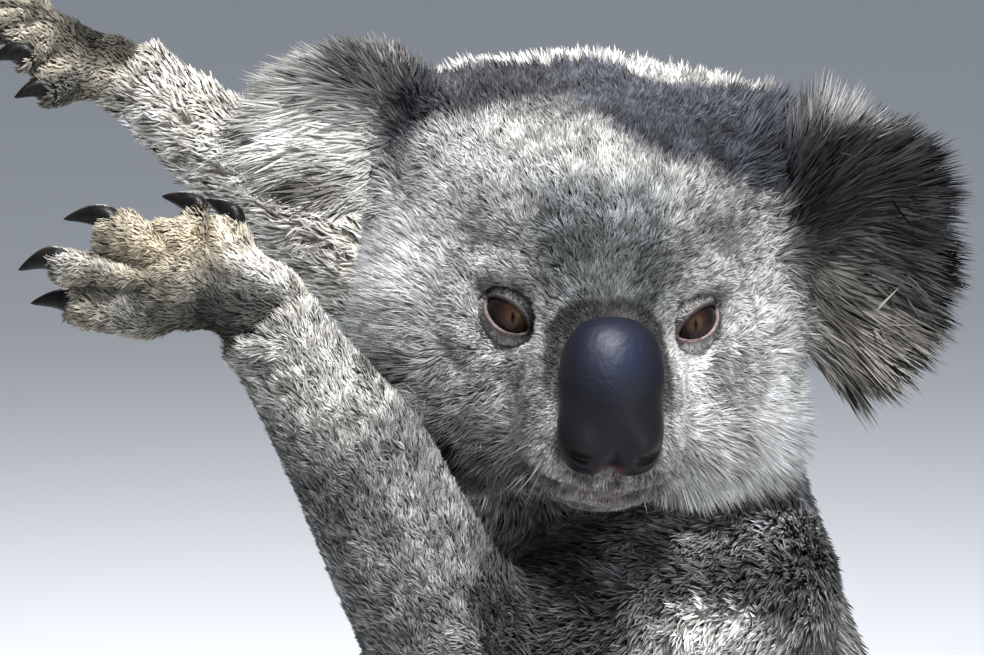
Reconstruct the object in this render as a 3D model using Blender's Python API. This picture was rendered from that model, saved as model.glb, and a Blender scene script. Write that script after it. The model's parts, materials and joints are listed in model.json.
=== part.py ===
"""A koala sitting upright, both arms reaching forward and its head turned to its left, as a life-size still model.

Metres, +Z up. The body faces -X, the face looks along -Y and the animal sits on the plane z = 0. The solids are the
outer form of the coat: each mass is laid down as clay from balls, tapers and rings, then fused, smoothed and parted.
"""

from math import cos, pi, radians, sin

import bmesh
import bpy
from mathutils import Euler, Matrix, Vector

MM = 0.001
GAP = 0.3 * MM  # room between touching pieces
SIDES = {"left": 1, "right": -1}
BODY_Y = 50  # the body's plane of symmetry, mm

# Head, mm in its own frame: x to the animal's left, y to the back, z up
HEAD_PLACE = (-4, 0, 342)
HEAD_TURN = Euler((radians(4), radians(3), radians(7)))
HEAD_MASSES = {
    "cranium": ((0, 16, 10), (61, 57, 53)),
    "forehead": ((0, -12, 21), (46, 42, 39)),
    "bridge": ((0, -33, -5), (24, 29, 24)),
    "muzzle": ((0, -42, -28), (26, 33, 25)),
    "chin": ((0, -42, -50), (20, 27, 13)),
    "throat": ((0, 14, -34), (44, 44, 30)),
}
PAIRED_HEAD_MASSES = {
    "temple": ((31, 14, 30), (32, 36, 31)),
    "ear_root": ((42, 10, 4), (21, 30, 28)),
    "cheek": ((35, 0, -26), (34, 43, 40)),
    "jowl": ((27, -18, -40), (25, 28, 21)),
    "lip": ((11, -52, -40), (14, 20, 13)),
}
EYE_PLACE = (30, -37, -6)
EYE_RADIUS = 8.5
NOSE_PLACE = (1, -69, -24)
NOSE_HALF = (15, 13, 23.5)
NOSE_LEAN = radians(14)

# Ears: place in the head's frame, half width, half height, facing, fringe's direction and its share of the ear
EARS = {
    "left": {"place": (87, 14, 12), "half": (35, 44), "facing": (0.35, -0.92, 0.1), "sweep": -25, "fringe": 0.1},
    "right": {"place": (-76, 20, 41), "half": (38, 28), "facing": (-0.3, -0.93, 0.1), "sweep": 190, "fringe": 0.1},
}
EAR_DEPTH = 17
EAR_EDGE = 4
EAR_DISH = 9

# Torso rings from the floor up: height, front, back, middle, half width
TORSO = (
    (-8, -14, 86, 50, 52),
    (14, -42, 106, 50, 77),
    (45, -62, 115, 50, 91),
    (90, -77, 117, 50, 98),
    (135, -82, 111, 50, 96),
    (180, -81, 100, 50, 88),
    (215, -76, 88, 50, 78),
    (245, -68, 79, 48, 69),
    (270, -58, 71, 45, 62),
    (295, -48, 64, 38, 56),
    (320, -34, 52, 33, 46),
    (338, -20, 40, 31, 32),
)
NECK_BASE = 266

# Limbs: stations of place and radius
ARMS = {
    "left": (
        ((34, 6, 240), 43),
        ((-2, -26, 230), 36),
        ((-38, -52, 222), 28),
        ((-52, -54, 250), 27),
        ((-73, -56, 294), 24),
        ((-102, -53, 337), 17),
    ),
    "right": (
        ((30, 92, 240), 43),
        ((-10, 122, 272), 34),
        ((-48, 146, 308), 26),
        ((-75, 148, 328), 25),
        ((-115, 150, 358), 20.5),
        ((-158, 150, 393), 15.5),
    ),
}
LEG = (
    ((36, 28, 82), 64),
    ((-6, 56, 96), 56),
    ((-42, 78, 106), 42),
    ((-55, 86, 66), 32),
    ((-64, 88, 28), 22),
)
ELBOW = 2
KNEE = 2

# Hands: the way the wrist points, the way its back faces, and how far the fingers curl down
HANDS = {
    "left": {"along": (-0.93, -0.05, 0.37), "back": (0, -1, 0.15), "curl": 0.0},
    "right": {"along": (-0.86, -0.05, 0.42), "back": (0.4, -0.3, 0.86), "curl": 0.5},
}
# Digits in the hand's frame (along, towards the thumb, out of the back): root, tip, claw's tip, radius
FINGERS = {
    "1": ((8, 9, -7), (17, 21, -12), (27, 26, -16), 6.5),
    "2": ((15, 12, -2), (28, 20, -4), (40, 22, -8), 6.5),
    "3": ((32, 10, 0), (51, 8, 0), (65, 5, -3), 7),
    "4": ((34, -3, 1), (60, -8, 0), (72, -14, -4), 7),
    "5": ((27, -13, -1), (51, -19, -4), (65, -22, -8), 6.5),
}
PALM = {"heel": ((6, 0, 0), (15, 15, 13)), "palm": ((19, 0, 0), (19, 16, 11)), "knuckles": ((31, -2, 0), (10, 17, 9))}

FOOT_TURN = radians(14)
TOES = {
    "1": ((24, 15, 10), (42, 33, 9), None, 9),
    "2": ((50, 12, 10), (70, 15, 9), (82, 16, 5), 7),
    "3": ((52, 6, 10), (73, 6.5, 9), (85, 7, 5), 7),
    "4": ((54, -5, 11), (80, -7, 9), (93, -9, 5), 8.5),
    "5": ((46, -15, 10), (68, -22, 9), (80, -26, 5), 8),
}
SOLE = {"heel": ((2, 0, 15), (19, 18, 19)), "arch": ((24, 0, 14), (26, 20, 17)), "ball": ((44, -1, 11), (18, 22, 13))}

MATERIALS = {
    "coat": ((0.30, 0.30, 0.29), 0.9),
    "ear_coat": ((0.24, 0.235, 0.23), 0.9),
    "nose_leather": ((0.02, 0.02, 0.024), 0.42),
    "eye": ((0.05, 0.02, 0.012), 0.08),
    "claw": ((0.02, 0.018, 0.017), 0.35),
}


def clear_scene():
    for obj in list(bpy.data.objects):
        bpy.data.objects.remove(obj)


def point(numbers):
    return Vector(numbers) * MM


def add_object(name, bm):
    mesh = bpy.data.meshes.new(name)
    bm.to_mesh(mesh)
    bm.free()
    obj = bpy.data.objects.new(name, mesh)
    bpy.context.scene.collection.objects.link(obj)
    return obj


# ---- clay ----


def ball(bm, centre, radii, frame=None):
    """An ellipsoid, in mm, in a frame."""
    place = Matrix.Translation(point(centre)) @ Matrix.Diagonal((*point(radii), 1))
    bmesh.ops.create_icosphere(bm, subdivisions=3, radius=1, matrix=(frame or Matrix()) @ place)


def taper(bm, start, end, start_radius, end_radius, frame=None):
    """A round bar between two places, with a ball at each end, in mm."""
    frame = frame or Matrix()
    for centre, radius in ((start, start_radius), (end, end_radius)):
        ball(bm, centre, (radius,) * 3, frame)
    first, last = frame @ point(start), frame @ point(end)
    along = last - first
    bmesh.ops.create_cone(
        bm,
        cap_ends=True,
        segments=24,
        radius1=start_radius * MM,
        radius2=end_radius * MM,
        depth=along.length,
        matrix=Matrix.Translation((first + last) / 2) @ along.to_track_quat("Z", "Y").to_matrix().to_4x4(),
    )


def loft(bm, rings):
    """A closed skin through rings of the same number of points."""
    loops = [[bm.verts.new(place) for place in ring] for ring in rings]
    for lower, upper in zip(loops, loops[1:]):
        for k in range(len(lower)):
            after = (k + 1) % len(lower)
            bm.faces.new((lower[k], lower[after], upper[after], upper[k]))
    bm.faces.new(list(reversed(loops[0])))
    bm.faces.new(loops[-1])


def settle(obj):
    """Applies the object's modifiers to its mesh."""
    graph = bpy.context.evaluated_depsgraph_get()
    mesh = bpy.data.meshes.new_from_object(obj.evaluated_get(graph))
    obj.modifiers.clear()
    obj.data = mesh


def fuse(obj, voxel, smoothing, triangles):
    """Turns overlapping clay into one smooth closed skin of about so many triangles."""
    remesh = obj.modifiers.new("fuse", "REMESH")
    remesh.mode = "VOXEL"
    remesh.voxel_size = voxel * MM
    smooth = obj.modifiers.new("smooth", "SMOOTH")
    smooth.factor = 0.5
    smooth.iterations = smoothing
    triangulate = obj.modifiers.new("triangulate", "TRIANGULATE")
    triangulate.keep_custom_normals = False
    settle(obj)
    decimate = obj.modifiers.new("decimate", "DECIMATE")
    decimate.ratio = min(1, triangles / len(obj.data.polygons))
    settle(obj)


# ---- parting ----


def inflated(obj):
    """A copy moved out by the gap, to cut with."""
    cutter = bpy.data.objects.new(obj.name + "_room", obj.data.copy())
    bpy.context.scene.collection.objects.link(cutter)
    cutter.hide_render = True
    cutter.display_type = "WIRE"
    normals = [vertex.normal.copy() for vertex in cutter.data.vertices]
    for vertex, normal in zip(cutter.data.vertices, normals):
        vertex.co += normal * GAP
    return cutter


def cut_away(obj, cutters):
    for cutter in cutters:
        boolean = obj.modifiers.new("cut", "BOOLEAN")
        boolean.operation = "DIFFERENCE"
        boolean.object = cutter
    settle(obj)
    keep_largest(obj)


def keep_largest(obj):
    """Drops the crumbs that a cut leaves."""
    bm = bmesh.new()
    bm.from_mesh(obj.data)
    islands = []
    waiting = set(bm.verts)
    while waiting:
        island = set()
        front = [waiting.pop()]
        while front:
            vertex = front.pop()
            island.add(vertex)
            for edge in vertex.link_edges:
                other = edge.other_vert(vertex)
                if other in waiting:
                    waiting.discard(other)
                    front.append(other)
        islands.append(island)
    largest = max(islands, key=len)
    bmesh.ops.delete(bm, geom=[v for v in bm.verts if v not in largest], context="VERTS")
    bm.to_mesh(obj.data)
    bm.free()


def side_of(obj, name, place, normal):
    """The part of an object that lies past a plane, closed, half a gap away from it."""
    bm = bmesh.new()
    bm.from_mesh(obj.data)
    normal = normal.normalized()
    cut = bmesh.ops.bisect_plane(
        bm,
        geom=bm.verts[:] + bm.edges[:] + bm.faces[:],
        plane_co=place + normal * GAP / 2,
        plane_no=normal,
        clear_inner=True,
    )
    rim = [item for item in cut["geom_cut"] if isinstance(item, bmesh.types.BMEdge)]
    bmesh.ops.holes_fill(bm, edges=rim)
    piece = add_object(name, bm)
    keep_largest(piece)
    return piece


def parted(obj, names, planes):
    """Cuts a limb across at each plane and names the pieces from its root to its end."""
    pieces = []
    for place, normal in planes:
        pieces.append(side_of(obj, names[len(pieces)], place, -normal))
        rest = side_of(obj, "rest", place, normal)
        bpy.data.objects.remove(obj)
        obj = rest
    obj.name = names[-1]
    return pieces + [obj]


# ---- head ----


def head_frame():
    return Matrix.Translation(point(HEAD_PLACE)) @ HEAD_TURN.to_matrix().to_4x4()


def make_head():
    bm = bmesh.new()
    for centre, radii in HEAD_MASSES.values():
        ball(bm, centre, radii, head_frame())
    for (x, y, z), radii in PAIRED_HEAD_MASSES.values():
        for side in SIDES.values():
            ball(bm, (side * x, y, z), radii, head_frame())
    head = add_object("head", bm)
    fuse(head, voxel=2.6, smoothing=18, triangles=1400)
    return head


def make_eye(side):
    bm = bmesh.new()
    x, y, z = EYE_PLACE
    place = head_frame() @ Matrix.Translation(point((SIDES[side] * x, y, z)))
    bmesh.ops.create_icosphere(bm, subdivisions=2, radius=EYE_RADIUS * MM, matrix=place)
    return add_object("eye_" + side, bm)


def make_nose():
    """A leather shield: square-cornered below, arched above, and fuller towards its lower edge."""
    bm = bmesh.new()
    bmesh.ops.create_uvsphere(bm, u_segments=14, v_segments=9, radius=1)
    for vertex in bm.verts:
        x, y, z = vertex.co
        breadth = 1 + 0.10 * (1 - z * z) - 0.10 * max(0, z) ** 2
        squarer = (abs(x) ** 3 + abs(z) ** 3) ** (1 / 3) or 1
        spread = (x * x + z * z) ** 0.5 / squarer
        vertex.co = (x * spread * breadth, y * (1 - 0.22 * z), z * spread)
    frame = head_frame() @ Matrix.Translation(point(NOSE_PLACE)) @ Matrix.Rotation(-NOSE_LEAN, 4, "X")
    bmesh.ops.transform(bm, matrix=frame @ Matrix.Diagonal((*point(NOSE_HALF), 1)), verts=bm.verts)
    return add_object("nose", bm)


def ear_reach(angle, sweep, fringe):
    """How far the ear's edge stands out at an angle: longest along its sweep, in locks."""
    towards = max(0, cos(angle - radians(sweep)))
    return 1 + fringe * towards * (1 + cos(9 * angle))


def make_ear(side):
    """A dish, hollow in front, whose edge ends in locks of fur."""
    ear = EARS[side]
    facing = Vector(ear["facing"]).normalized()
    up = (Vector((0, 0, 1)) - facing * facing.z).normalized()
    across = up.cross(facing) * -1
    half_width, half_height = ear["half"]
    around, depth = 22, 4
    front, back = [], []
    for ring in range(1, depth + 1):
        share = ring / depth
        reach = [ear_reach(2 * pi * k / around, ear["sweep"], ear["fringe"]) for k in range(around)]
        flat = [
            across * (half_width * share * reach[k] * cos(2 * pi * k / around))
            + up * (half_height * share * reach[k] * sin(2 * pi * k / around))
            for k in range(around)
        ]
        rise = EAR_DISH * share**2
        front.append([place + facing * rise for place in flat])
        sink = EAR_DEPTH - (EAR_DEPTH - EAR_EDGE) * share**2
        back.append([place + facing * (rise - sink) for place in flat])
    frame = head_frame() @ Matrix.Translation(point(ear["place"]))
    rings = [[frame @ (place * MM) for place in ring] for ring in back + front[::-1]]
    bm = bmesh.new()
    loft(bm, rings)
    bmesh.ops.triangulate(bm, faces=bm.faces)
    bmesh.ops.recalc_face_normals(bm, faces=bm.faces)
    return add_object("ear_" + side, bm)


# ---- torso ----


def torso_ring(height, front, back, middle, half_width, around=40):
    """A rounded-square ring at a height."""
    ring = []
    for k in range(around):
        angle = 2 * pi * k / around
        c, s = cos(angle), sin(angle)
        square = (abs(c) ** 2.3 + abs(s) ** 2.3) ** (-1 / 2.3)
        x = (front + back) / 2 + (back - front) / 2 * square * c
        ring.append(point((x, middle + half_width * square * s, height)))
    return ring


def make_torso():
    bm = bmesh.new()
    loft(bm, [torso_ring(*station) for station in TORSO])
    torso = add_object("torso", bm)
    fuse(torso, voxel=4, smoothing=12, triangles=830)
    return torso


# ---- limbs ----


def limb_clay(bm, stations):
    for (start, start_radius), (end, end_radius) in zip(stations, stations[1:]):
        taper(bm, start, end, start_radius, end_radius)


def bend_plane(stations, k):
    """The plane that halves the bend at a station: its place and the way along the limb."""
    before, here, after = (Vector(stations[n][0]) for n in (k - 1, k, k + 1))
    return here * MM, (here - before).normalized() + (after - here).normalized()


def end_plane(stations, share=0.1):
    """A plane across the limb just before its last station."""
    before, here = (Vector(stations[n][0]) for n in (-2, -1))
    return here.lerp(before, share) * MM, (here - before).normalized()


def frame_from(origin, along, back, side):
    """Columns: along, towards the inner digit, out of the back."""
    u = Vector(along).normalized()
    w = Vector(back)
    w = (w - u * w.dot(u)).normalized()
    v = u.cross(w) * SIDES[side]
    frame = Matrix((u, v, w)).transposed().to_4x4()
    frame.translation = point(origin)
    return frame


def curled(place, curl):
    """A place in the hand's frame, bent down beyond the knuckles."""
    x, y, z = place
    beyond = max(0, x - 26)
    angle = curl * beyond / 30
    if not angle:
        return place
    radius = beyond / angle
    return (26 + radius * sin(angle), y, z - radius * (1 - cos(angle)))


def digits_clay(bm, digits, frame, curl=0.0):
    for root, tip, _, radius in digits.values():
        taper(bm, curled(root, curl), curled(tip, curl), radius, radius * 0.86, frame)


def make_claws(prefix, digits, frame, curl=0.0):
    """A curved spike out of each digit's tip."""
    claws = []
    for name, (root, tip, point_of_claw, _) in digits.items():
        if point_of_claw is None:
            continue
        tip, end = Vector(curled(tip, curl)), Vector(curled(point_of_claw, curl))
        along = (end - tip).normalized()
        start = tip - along * 2
        crook = (start + end) / 2 + Vector((0, 0, 1.6))
        stations = ((start, 3.4), (crook, 2.8), (end, 0.5))
        rings = []
        for place, radius in stations:
            turn = along.to_track_quat("Z", "Y").to_matrix()
            circle = [Vector((cos(pi * k / 3), sin(pi * k / 3), 0)) * radius for k in range(6)]
            rings.append([frame @ ((place + turn @ spoke) * MM) for spoke in circle])
        bm = bmesh.new()
        loft(bm, rings)
        bmesh.ops.triangulate(bm, faces=bm.faces)
        bmesh.ops.recalc_face_normals(bm, faces=bm.faces)
        claws.append(add_object(prefix + name, bm))
    return claws


def make_arm(side, cutters):
    stations = ARMS[side]
    hand = HANDS[side]
    frame = frame_from(stations[-1][0], hand["along"], hand["back"], side)
    bm = bmesh.new()
    limb_clay(bm, stations)
    for centre, radii in PALM.values():
        ball(bm, centre, radii, frame)
    digits_clay(bm, FINGERS, frame, hand["curl"])
    arm = add_object("arm", bm)
    fuse(arm, voxel=1.7, smoothing=4, triangles=700)
    claws = make_claws(f"claw_hand_{side}_", FINGERS, frame, hand["curl"])
    rooms = [inflated(claw) for claw in claws]
    cut_away(arm, cutters + rooms)
    names = [f"upper_arm_{side}", f"forearm_{side}", f"hand_{side}"]
    return parted(arm, names, [bend_plane(stations, ELBOW), end_plane(stations)]) + claws


def make_leg(side, cutters):
    stations = [((x, BODY_Y - SIDES[side] * y, z), radius) for (x, y, z), radius in LEG]
    along = (-cos(FOOT_TURN), -SIDES[side] * sin(FOOT_TURN), 0)
    x, y, _ = stations[-1][0]
    frame = frame_from((x, y, 0), along, (0, 0, 1), side)
    bm = bmesh.new()
    limb_clay(bm, stations)
    for centre, radii in SOLE.values():
        ball(bm, centre, radii, frame)
    digits_clay(bm, TOES, frame)
    leg = add_object("leg", bm)
    fuse(leg, voxel=1.9, smoothing=4, triangles=650)
    claws = make_claws(f"claw_foot_{side}_", TOES, frame)
    rooms = [inflated(claw) for claw in claws]
    cut_away(leg, cutters + rooms)
    leg = on_floor(leg)
    names = [f"thigh_{side}", f"shank_{side}", f"foot_{side}"]
    return parted(leg, names, [bend_plane(stations, KNEE), end_plane(stations)]) + claws


def on_floor(obj):
    """Cuts the object flat where it meets the floor."""
    grounded = side_of(obj, "grounded", Vector((0, 0, -GAP / 2)), Vector((0, 0, 1)))
    bpy.data.objects.remove(obj)
    return grounded


# ---- assembly ----


def paint(objects):
    slots = {"ear": "ear_coat", "nose": "nose_leather", "eye": "eye", "claw": "claw"}
    materials = {}
    for name, (colour, roughness) in MATERIALS.items():
        material = bpy.data.materials.new(name)
        material.use_nodes = True
        principled = material.node_tree.nodes["Principled BSDF"]
        principled.inputs["Base Color"].default_value = (*colour, 1)
        principled.inputs["Roughness"].default_value = roughness
        principled.inputs["Metallic"].default_value = 0
        materials[name] = material
    for obj in objects:
        kind = obj.name.split("_")[0]
        obj.data.materials.clear()
        obj.data.materials.append(materials[slots.get(kind, "coat")])


def stand_at_origin(objects):
    """Hangs the pieces from an empty that puts the middle of their footprint at the origin."""
    places = [vertex.co for obj in objects for vertex in obj.data.vertices]
    middle = [(min(p[axis] for p in places) + max(p[axis] for p in places)) / 2 for axis in (0, 1)]
    floor = min(p.z for p in places)
    root = bpy.data.objects.new("koala", None)
    bpy.context.scene.collection.objects.link(root)
    root.location = (-middle[0], -middle[1], -floor)
    for obj in objects:
        obj.parent = root


def main():
    clear_scene()
    head = make_head()
    head_room = inflated(head)
    torso = make_torso()
    torso_room = inflated(torso)
    nose = make_nose()
    eyes = [make_eye(side) for side in SIDES]
    ears = [make_ear(side) for side in SIDES]
    for ear in ears:
        cut_away(ear, [head_room])
    cut_away(head, [inflated(piece) for piece in [nose] + eyes])
    limbs = []
    for side in SIDES:
        limbs += make_arm(side, [torso_room, head_room])
        limbs += make_leg(side, [torso_room])
    cut_away(torso, [head_room])
    torso = on_floor(torso)
    trunk_and_neck = parted(torso, ["trunk", "neck"], [(point((0, 0, NECK_BASE)), Vector((0, 0, 1)))])
    for obj in list(bpy.data.objects):
        if obj.hide_render:
            bpy.data.objects.remove(obj)
    pieces = [head, nose, *eyes, *ears, *limbs, *trunk_and_neck]
    paint(pieces)
    stand_at_origin(pieces)


main()
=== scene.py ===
"""The looks of the life-size koala: skin, a coat of mesh tufts, eyes, nose leather and claws.

Lengths are in millimetres in the row frame until a mesh is made. "Left" and "right" are the
animal's own. Its left side lies towards +X on the head and towards -Y on the body, because the
head is turned to its left.
"""

import json
import math
from types import SimpleNamespace

import bpy
import numpy as np
from mathutils import Euler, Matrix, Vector
from mathutils.bvhtree import BVHTree
from mathutils.kdtree import KDTree

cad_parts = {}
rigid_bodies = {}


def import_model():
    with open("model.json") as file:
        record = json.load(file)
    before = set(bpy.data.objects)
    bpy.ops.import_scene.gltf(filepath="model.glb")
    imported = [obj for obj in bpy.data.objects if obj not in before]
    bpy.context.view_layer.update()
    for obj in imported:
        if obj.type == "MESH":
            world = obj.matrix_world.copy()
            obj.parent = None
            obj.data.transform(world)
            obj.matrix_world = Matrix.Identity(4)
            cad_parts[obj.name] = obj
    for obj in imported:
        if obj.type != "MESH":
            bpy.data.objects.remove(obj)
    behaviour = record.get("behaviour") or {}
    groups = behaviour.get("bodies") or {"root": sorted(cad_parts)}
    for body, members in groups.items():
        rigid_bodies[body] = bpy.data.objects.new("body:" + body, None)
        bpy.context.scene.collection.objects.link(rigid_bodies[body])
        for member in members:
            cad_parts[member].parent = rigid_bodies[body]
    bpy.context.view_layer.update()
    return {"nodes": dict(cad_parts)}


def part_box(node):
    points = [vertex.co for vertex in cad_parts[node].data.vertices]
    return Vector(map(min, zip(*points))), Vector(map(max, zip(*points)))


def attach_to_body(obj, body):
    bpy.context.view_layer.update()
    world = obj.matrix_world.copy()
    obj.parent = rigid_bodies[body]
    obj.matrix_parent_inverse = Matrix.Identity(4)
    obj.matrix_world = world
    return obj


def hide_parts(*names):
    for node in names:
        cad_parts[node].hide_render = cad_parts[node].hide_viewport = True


MM = 0.001
SIDES = {"left": 1, "right": -1}
SEED = 20

# The head's own frame, as part.py turns it: x to its left, y to the back, z up
HEAD_TURN = Euler((math.radians(4), math.radians(3), math.radians(7)))
EYE_PLACE = np.array((30.0, -37.0, -6.0))
EYE_RADIUS = 8.5
NOSE_PLACE = np.array((-0.6, -69.0, -23.2))
NOSE_LEAN = math.radians(14)

# Ears in the head's frame: place, facing and where each grows from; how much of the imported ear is
# flesh, outwards and upwards; how the fur is swept, outwards and upwards; the longest hair of its
# fringe, and how much of that length its top keeps
EARS = {
    "left": {
        "place": (87, 14, 12), "facing": (0.35, -0.92, 0.1), "root": (52, 10, 8),
        "flesh": (0.64, 0.78), "sweep": (0.1, -0.25), "longest": 27, "crest": 0.6,
    },
    "right": {
        "place": (-76, 20, 41), "facing": (-0.3, -0.93, 0.1), "root": (-46, 14, 22),
        "flesh": (0.70, 0.84), "sweep": (0.8, -0.6), "longest": 26, "crest": 0.6,
    },
}

EAR_BRIDGE = ((50, 4, 42), (15, 22, 14))  # middle and radii of the long fur between crown and left ear
FUR_SOURCE = (0, -84, -14)  # the point, in front of the nose, that the face's fur runs away from

LIMBS = {"arm": ("upper_arm", "forearm", "hand"), "leg": ("thigh", "shank", "foot")}
LIMB_OF = {"arm": "arm", "hand": "arm", "leg": "leg", "foot": "leg"}
HAIR_SAG = {"arm": -0.25, "leg": -0.15}  # how far hair that lies along a limb also hangs down

FLESH_GROWTH = 0.4
NOSE_BED_INSET = 2.5
NOSE_BED_SETBACK = 3.0
JOINT_GAP = 3.0  # nodes meet where they come this near
BEND_BLEND = 6.0  # how softly the way along a limb turns at its joints
FURROW_DEPTH = 4.6

VOXEL = 2.0  # side of the cubes that the skin is made from
REGIONS = (
    "head", "trunk", "ear_left", "ear_right", "arm_left", "arm_right",
    "hand_left", "hand_right", "leg_left", "leg_right", "foot_left", "foot_right",
)
REGION_OF_NODE = {
    "head": "head", "neck": "trunk", "trunk": "trunk", "upper_arm": "arm", "forearm": "arm",
    "thigh": "leg", "shank": "leg", "hand": "hand", "foot": "foot", "ear": "ear",
}

# Each region's coat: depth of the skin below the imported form, tuft length and width, lift off the
# skin in degrees, tufts per square millimetre, and how strongly tufts gather in locks
TRAITS = ("depth", "length", "width", "lift", "density", "gather")
COAT = {
    "head": (4.5, 7.5, 0.95, 34, 1.5, 0.45),
    "trunk": (8, 15, 2.4, 30, 0.24, 0.6),
    "ear": (1.5, 15, 0.85, 24, 3.0, 0.55),
    "arm": (3.8, 9.5, 1.25, 25, 0.5, 0.5),
    "hand": (1.2, 3.6, 0.62, 20, 1.2, 0.3),
    "leg": (6, 12, 1.9, 28, 0.34, 0.55),
    "foot": (1.2, 4.5, 1.0, 22, 0.6, 0.3),
}


# ---- small tools ----


def unit(vectors):
    """Each row made one long."""
    return vectors / np.maximum(np.linalg.norm(vectors, axis=-1, keepdims=True), 1e-9)


def step(low, high, values):
    """0 below low, 1 above high, and smooth between."""
    share = np.clip((values - low) / (high - low), 0, 1)
    return share * share * (3 - 2 * share)


def blob(places, centre, radii):
    """1 at a centre, falling to nearly 0 at its radii and beyond."""
    away = ((places - np.array(centre, float)) / np.array(radii, float)) ** 2
    return np.exp(-1.6 * away.sum(axis=-1))


def mixed(first, second, share):
    """first where share is 0 and second where it is 1, for rows of colours or vectors."""
    share = np.asarray(share)[..., None]
    return np.asarray(first) * (1 - share) + np.asarray(second) * share


def layered(colours, *layers):
    """Colours with each layer over them in turn: a layer is its colour and its share at each place."""
    for colour, share in layers:
        colours = mixed(colours, colour, share)
    return colours


def all_round(count):
    """Even angles all the way round."""
    return np.arange(count) * 2 * math.pi / count


def spot(x, z, middle, size):
    """1 at a middle in a plane, falling to nearly 0 at twice its size."""
    return np.exp(-(((x - middle[0]) / size[0]) ** 2) - (((z - middle[1]) / size[1]) ** 2))


def both_sides(x, z, middle, size):
    """A spot and its mirror image across x = 0."""
    return spot(-x, z, middle, size) + spot(x, z, middle, size)


class Noise:
    """Smooth random values from -1 to 1 through space."""

    SIDE = 32

    def __init__(self, seed):
        self.lattice = np.random.default_rng(seed).uniform(-1, 1, (self.SIDE,) * 3)

    def __call__(self, places, size):
        scaled = np.asarray(places, float) / size
        cell = np.floor(scaled).astype(int)
        share = scaled - cell
        share = share * share * (3 - 2 * share)
        total = np.zeros(len(scaled))
        for corner in np.ndindex(2, 2, 2):
            weight = np.prod(np.where(corner, share, 1 - share), axis=1)
            x, y, z = ((cell + corner) % self.SIDE).T
            total += weight * self.lattice[x, y, z]
        return total


NOISES = [Noise(SEED + k) for k in range(6)]


def mesh_object(name, places, faces, normals=None):
    """A smooth-shaded mesh from places in mm and faces that all have the same number of corners."""
    mesh = bpy.data.meshes.new(name)
    mesh.vertices.add(len(places))
    mesh.vertices.foreach_set("co", (np.asarray(places) * MM).astype(np.float32).ravel())
    corners = np.asarray(faces, np.int32)
    mesh.loops.add(corners.size)
    mesh.loops.foreach_set("vertex_index", corners.ravel())
    mesh.polygons.add(len(corners))
    starts = np.arange(len(corners), dtype=np.int32) * corners.shape[1]
    mesh.polygons.foreach_set("loop_start", starts)
    mesh.update(calc_edges=True)
    mesh.shade_smooth()
    if normals is not None:
        mesh.normals_split_custom_set_from_vertices(np.asarray(normals, np.float32))
    obj = bpy.data.objects.new(name, mesh)
    bpy.context.scene.collection.objects.link(obj)
    return obj


def paint(obj, name, colours):
    """A colour for each vertex, linear, kept under a name that a material reads."""
    layer = obj.data.color_attributes.new(name, "FLOAT_COLOR", "POINT")
    rows = np.ones((len(colours), 4), np.float32)
    rows[:, :3] = colours
    layer.data.foreach_set("color", rows.ravel())


def joined(meshes):
    """Several meshes as one: all their places, and their faces counted on from one to the next."""
    shifts = np.cumsum([0] + [len(places) for places, _ in meshes])
    faces = [some + shift for (_, some), shift in zip(meshes, shifts)]
    return np.concatenate([places for places, _ in meshes]), np.concatenate(faces)


def tree_of(places, faces):
    """A tree that finds the nearest face, or the face that a ray hits."""
    return BVHTree.FromPolygons(places.tolist(), faces.tolist())


def rows_of(items, trait, width, kind=np.float32):
    """One trait of all of a mesh's items, as rows of a width."""
    values = np.empty(len(items) * width, kind)
    items.foreach_get(trait, values)
    return values.reshape(-1, width)


def node_mesh(node):
    """A node's places in mm and its triangles, with doubled vertices made one."""
    mesh = node.data
    places = rows_of(mesh.vertices, "co", 3) / MM
    mesh.calc_loop_triangles()
    triangles = rows_of(mesh.loop_triangles, "vertices", 3, np.int32)
    _, first, index = np.unique(np.round(places, 2), axis=0, return_index=True, return_inverse=True)
    return places[first].astype(float), index.reshape(-1)[triangles]


def face_normals(places, triangles):
    """Normals as long as twice each triangle's area."""
    a, b, c = (places[triangles[:, k]] for k in range(3))
    return np.cross(b - a, c - a)


def vertex_normals(places, triangles):
    """The mean normal of the triangles round each place, weighted by their areas."""
    normals = np.zeros_like(places)
    across = face_normals(places, triangles)
    for k in range(3):
        np.add.at(normals, triangles[:, k], across)
    return unit(normals)


def box_middle(node):
    """The middle of a node's box at rest, in mm."""
    low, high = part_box(node)
    return np.array((low + high) / 2) / MM


# ---- the head's frame ----


class HeadFrame:
    """Turns places between the row frame and the head's own."""

    def __init__(self):
        self.turn = np.array(HEAD_TURN.to_matrix())
        eyes = (box_middle("eye_left") + box_middle("eye_right")) / 2
        self.origin = eyes - self.turn @ (EYE_PLACE * (0, 1, 1))

    def inwards(self, places):
        return (places - self.origin) @ self.turn

    def outwards(self, places):
        return np.asarray(places, float) @ self.turn.T + self.origin

    def turned(self, vectors):
        return np.asarray(vectors, float) @ self.turn.T


# ---- flesh ----


def ear_axes(side, head):
    """The ear's directions in the row frame: outwards from the head, up, and the way its dish faces."""
    facing = Vector(EARS[side]["facing"]).normalized()
    up = (Vector((0, 0, 1)) - facing * facing.z).normalized()
    out = up.cross(facing) * SIDES[side]
    return [head.turned(np.array(axis)) for axis in (out, up, facing)]


def ear_own(places, side, head, start="place"):
    """How far places lie outwards, upwards and forwards in an ear, from its place or its root."""
    away = places - head.outwards(EARS[side][start])
    return [away @ axis for axis in ear_axes(side, head)]


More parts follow.
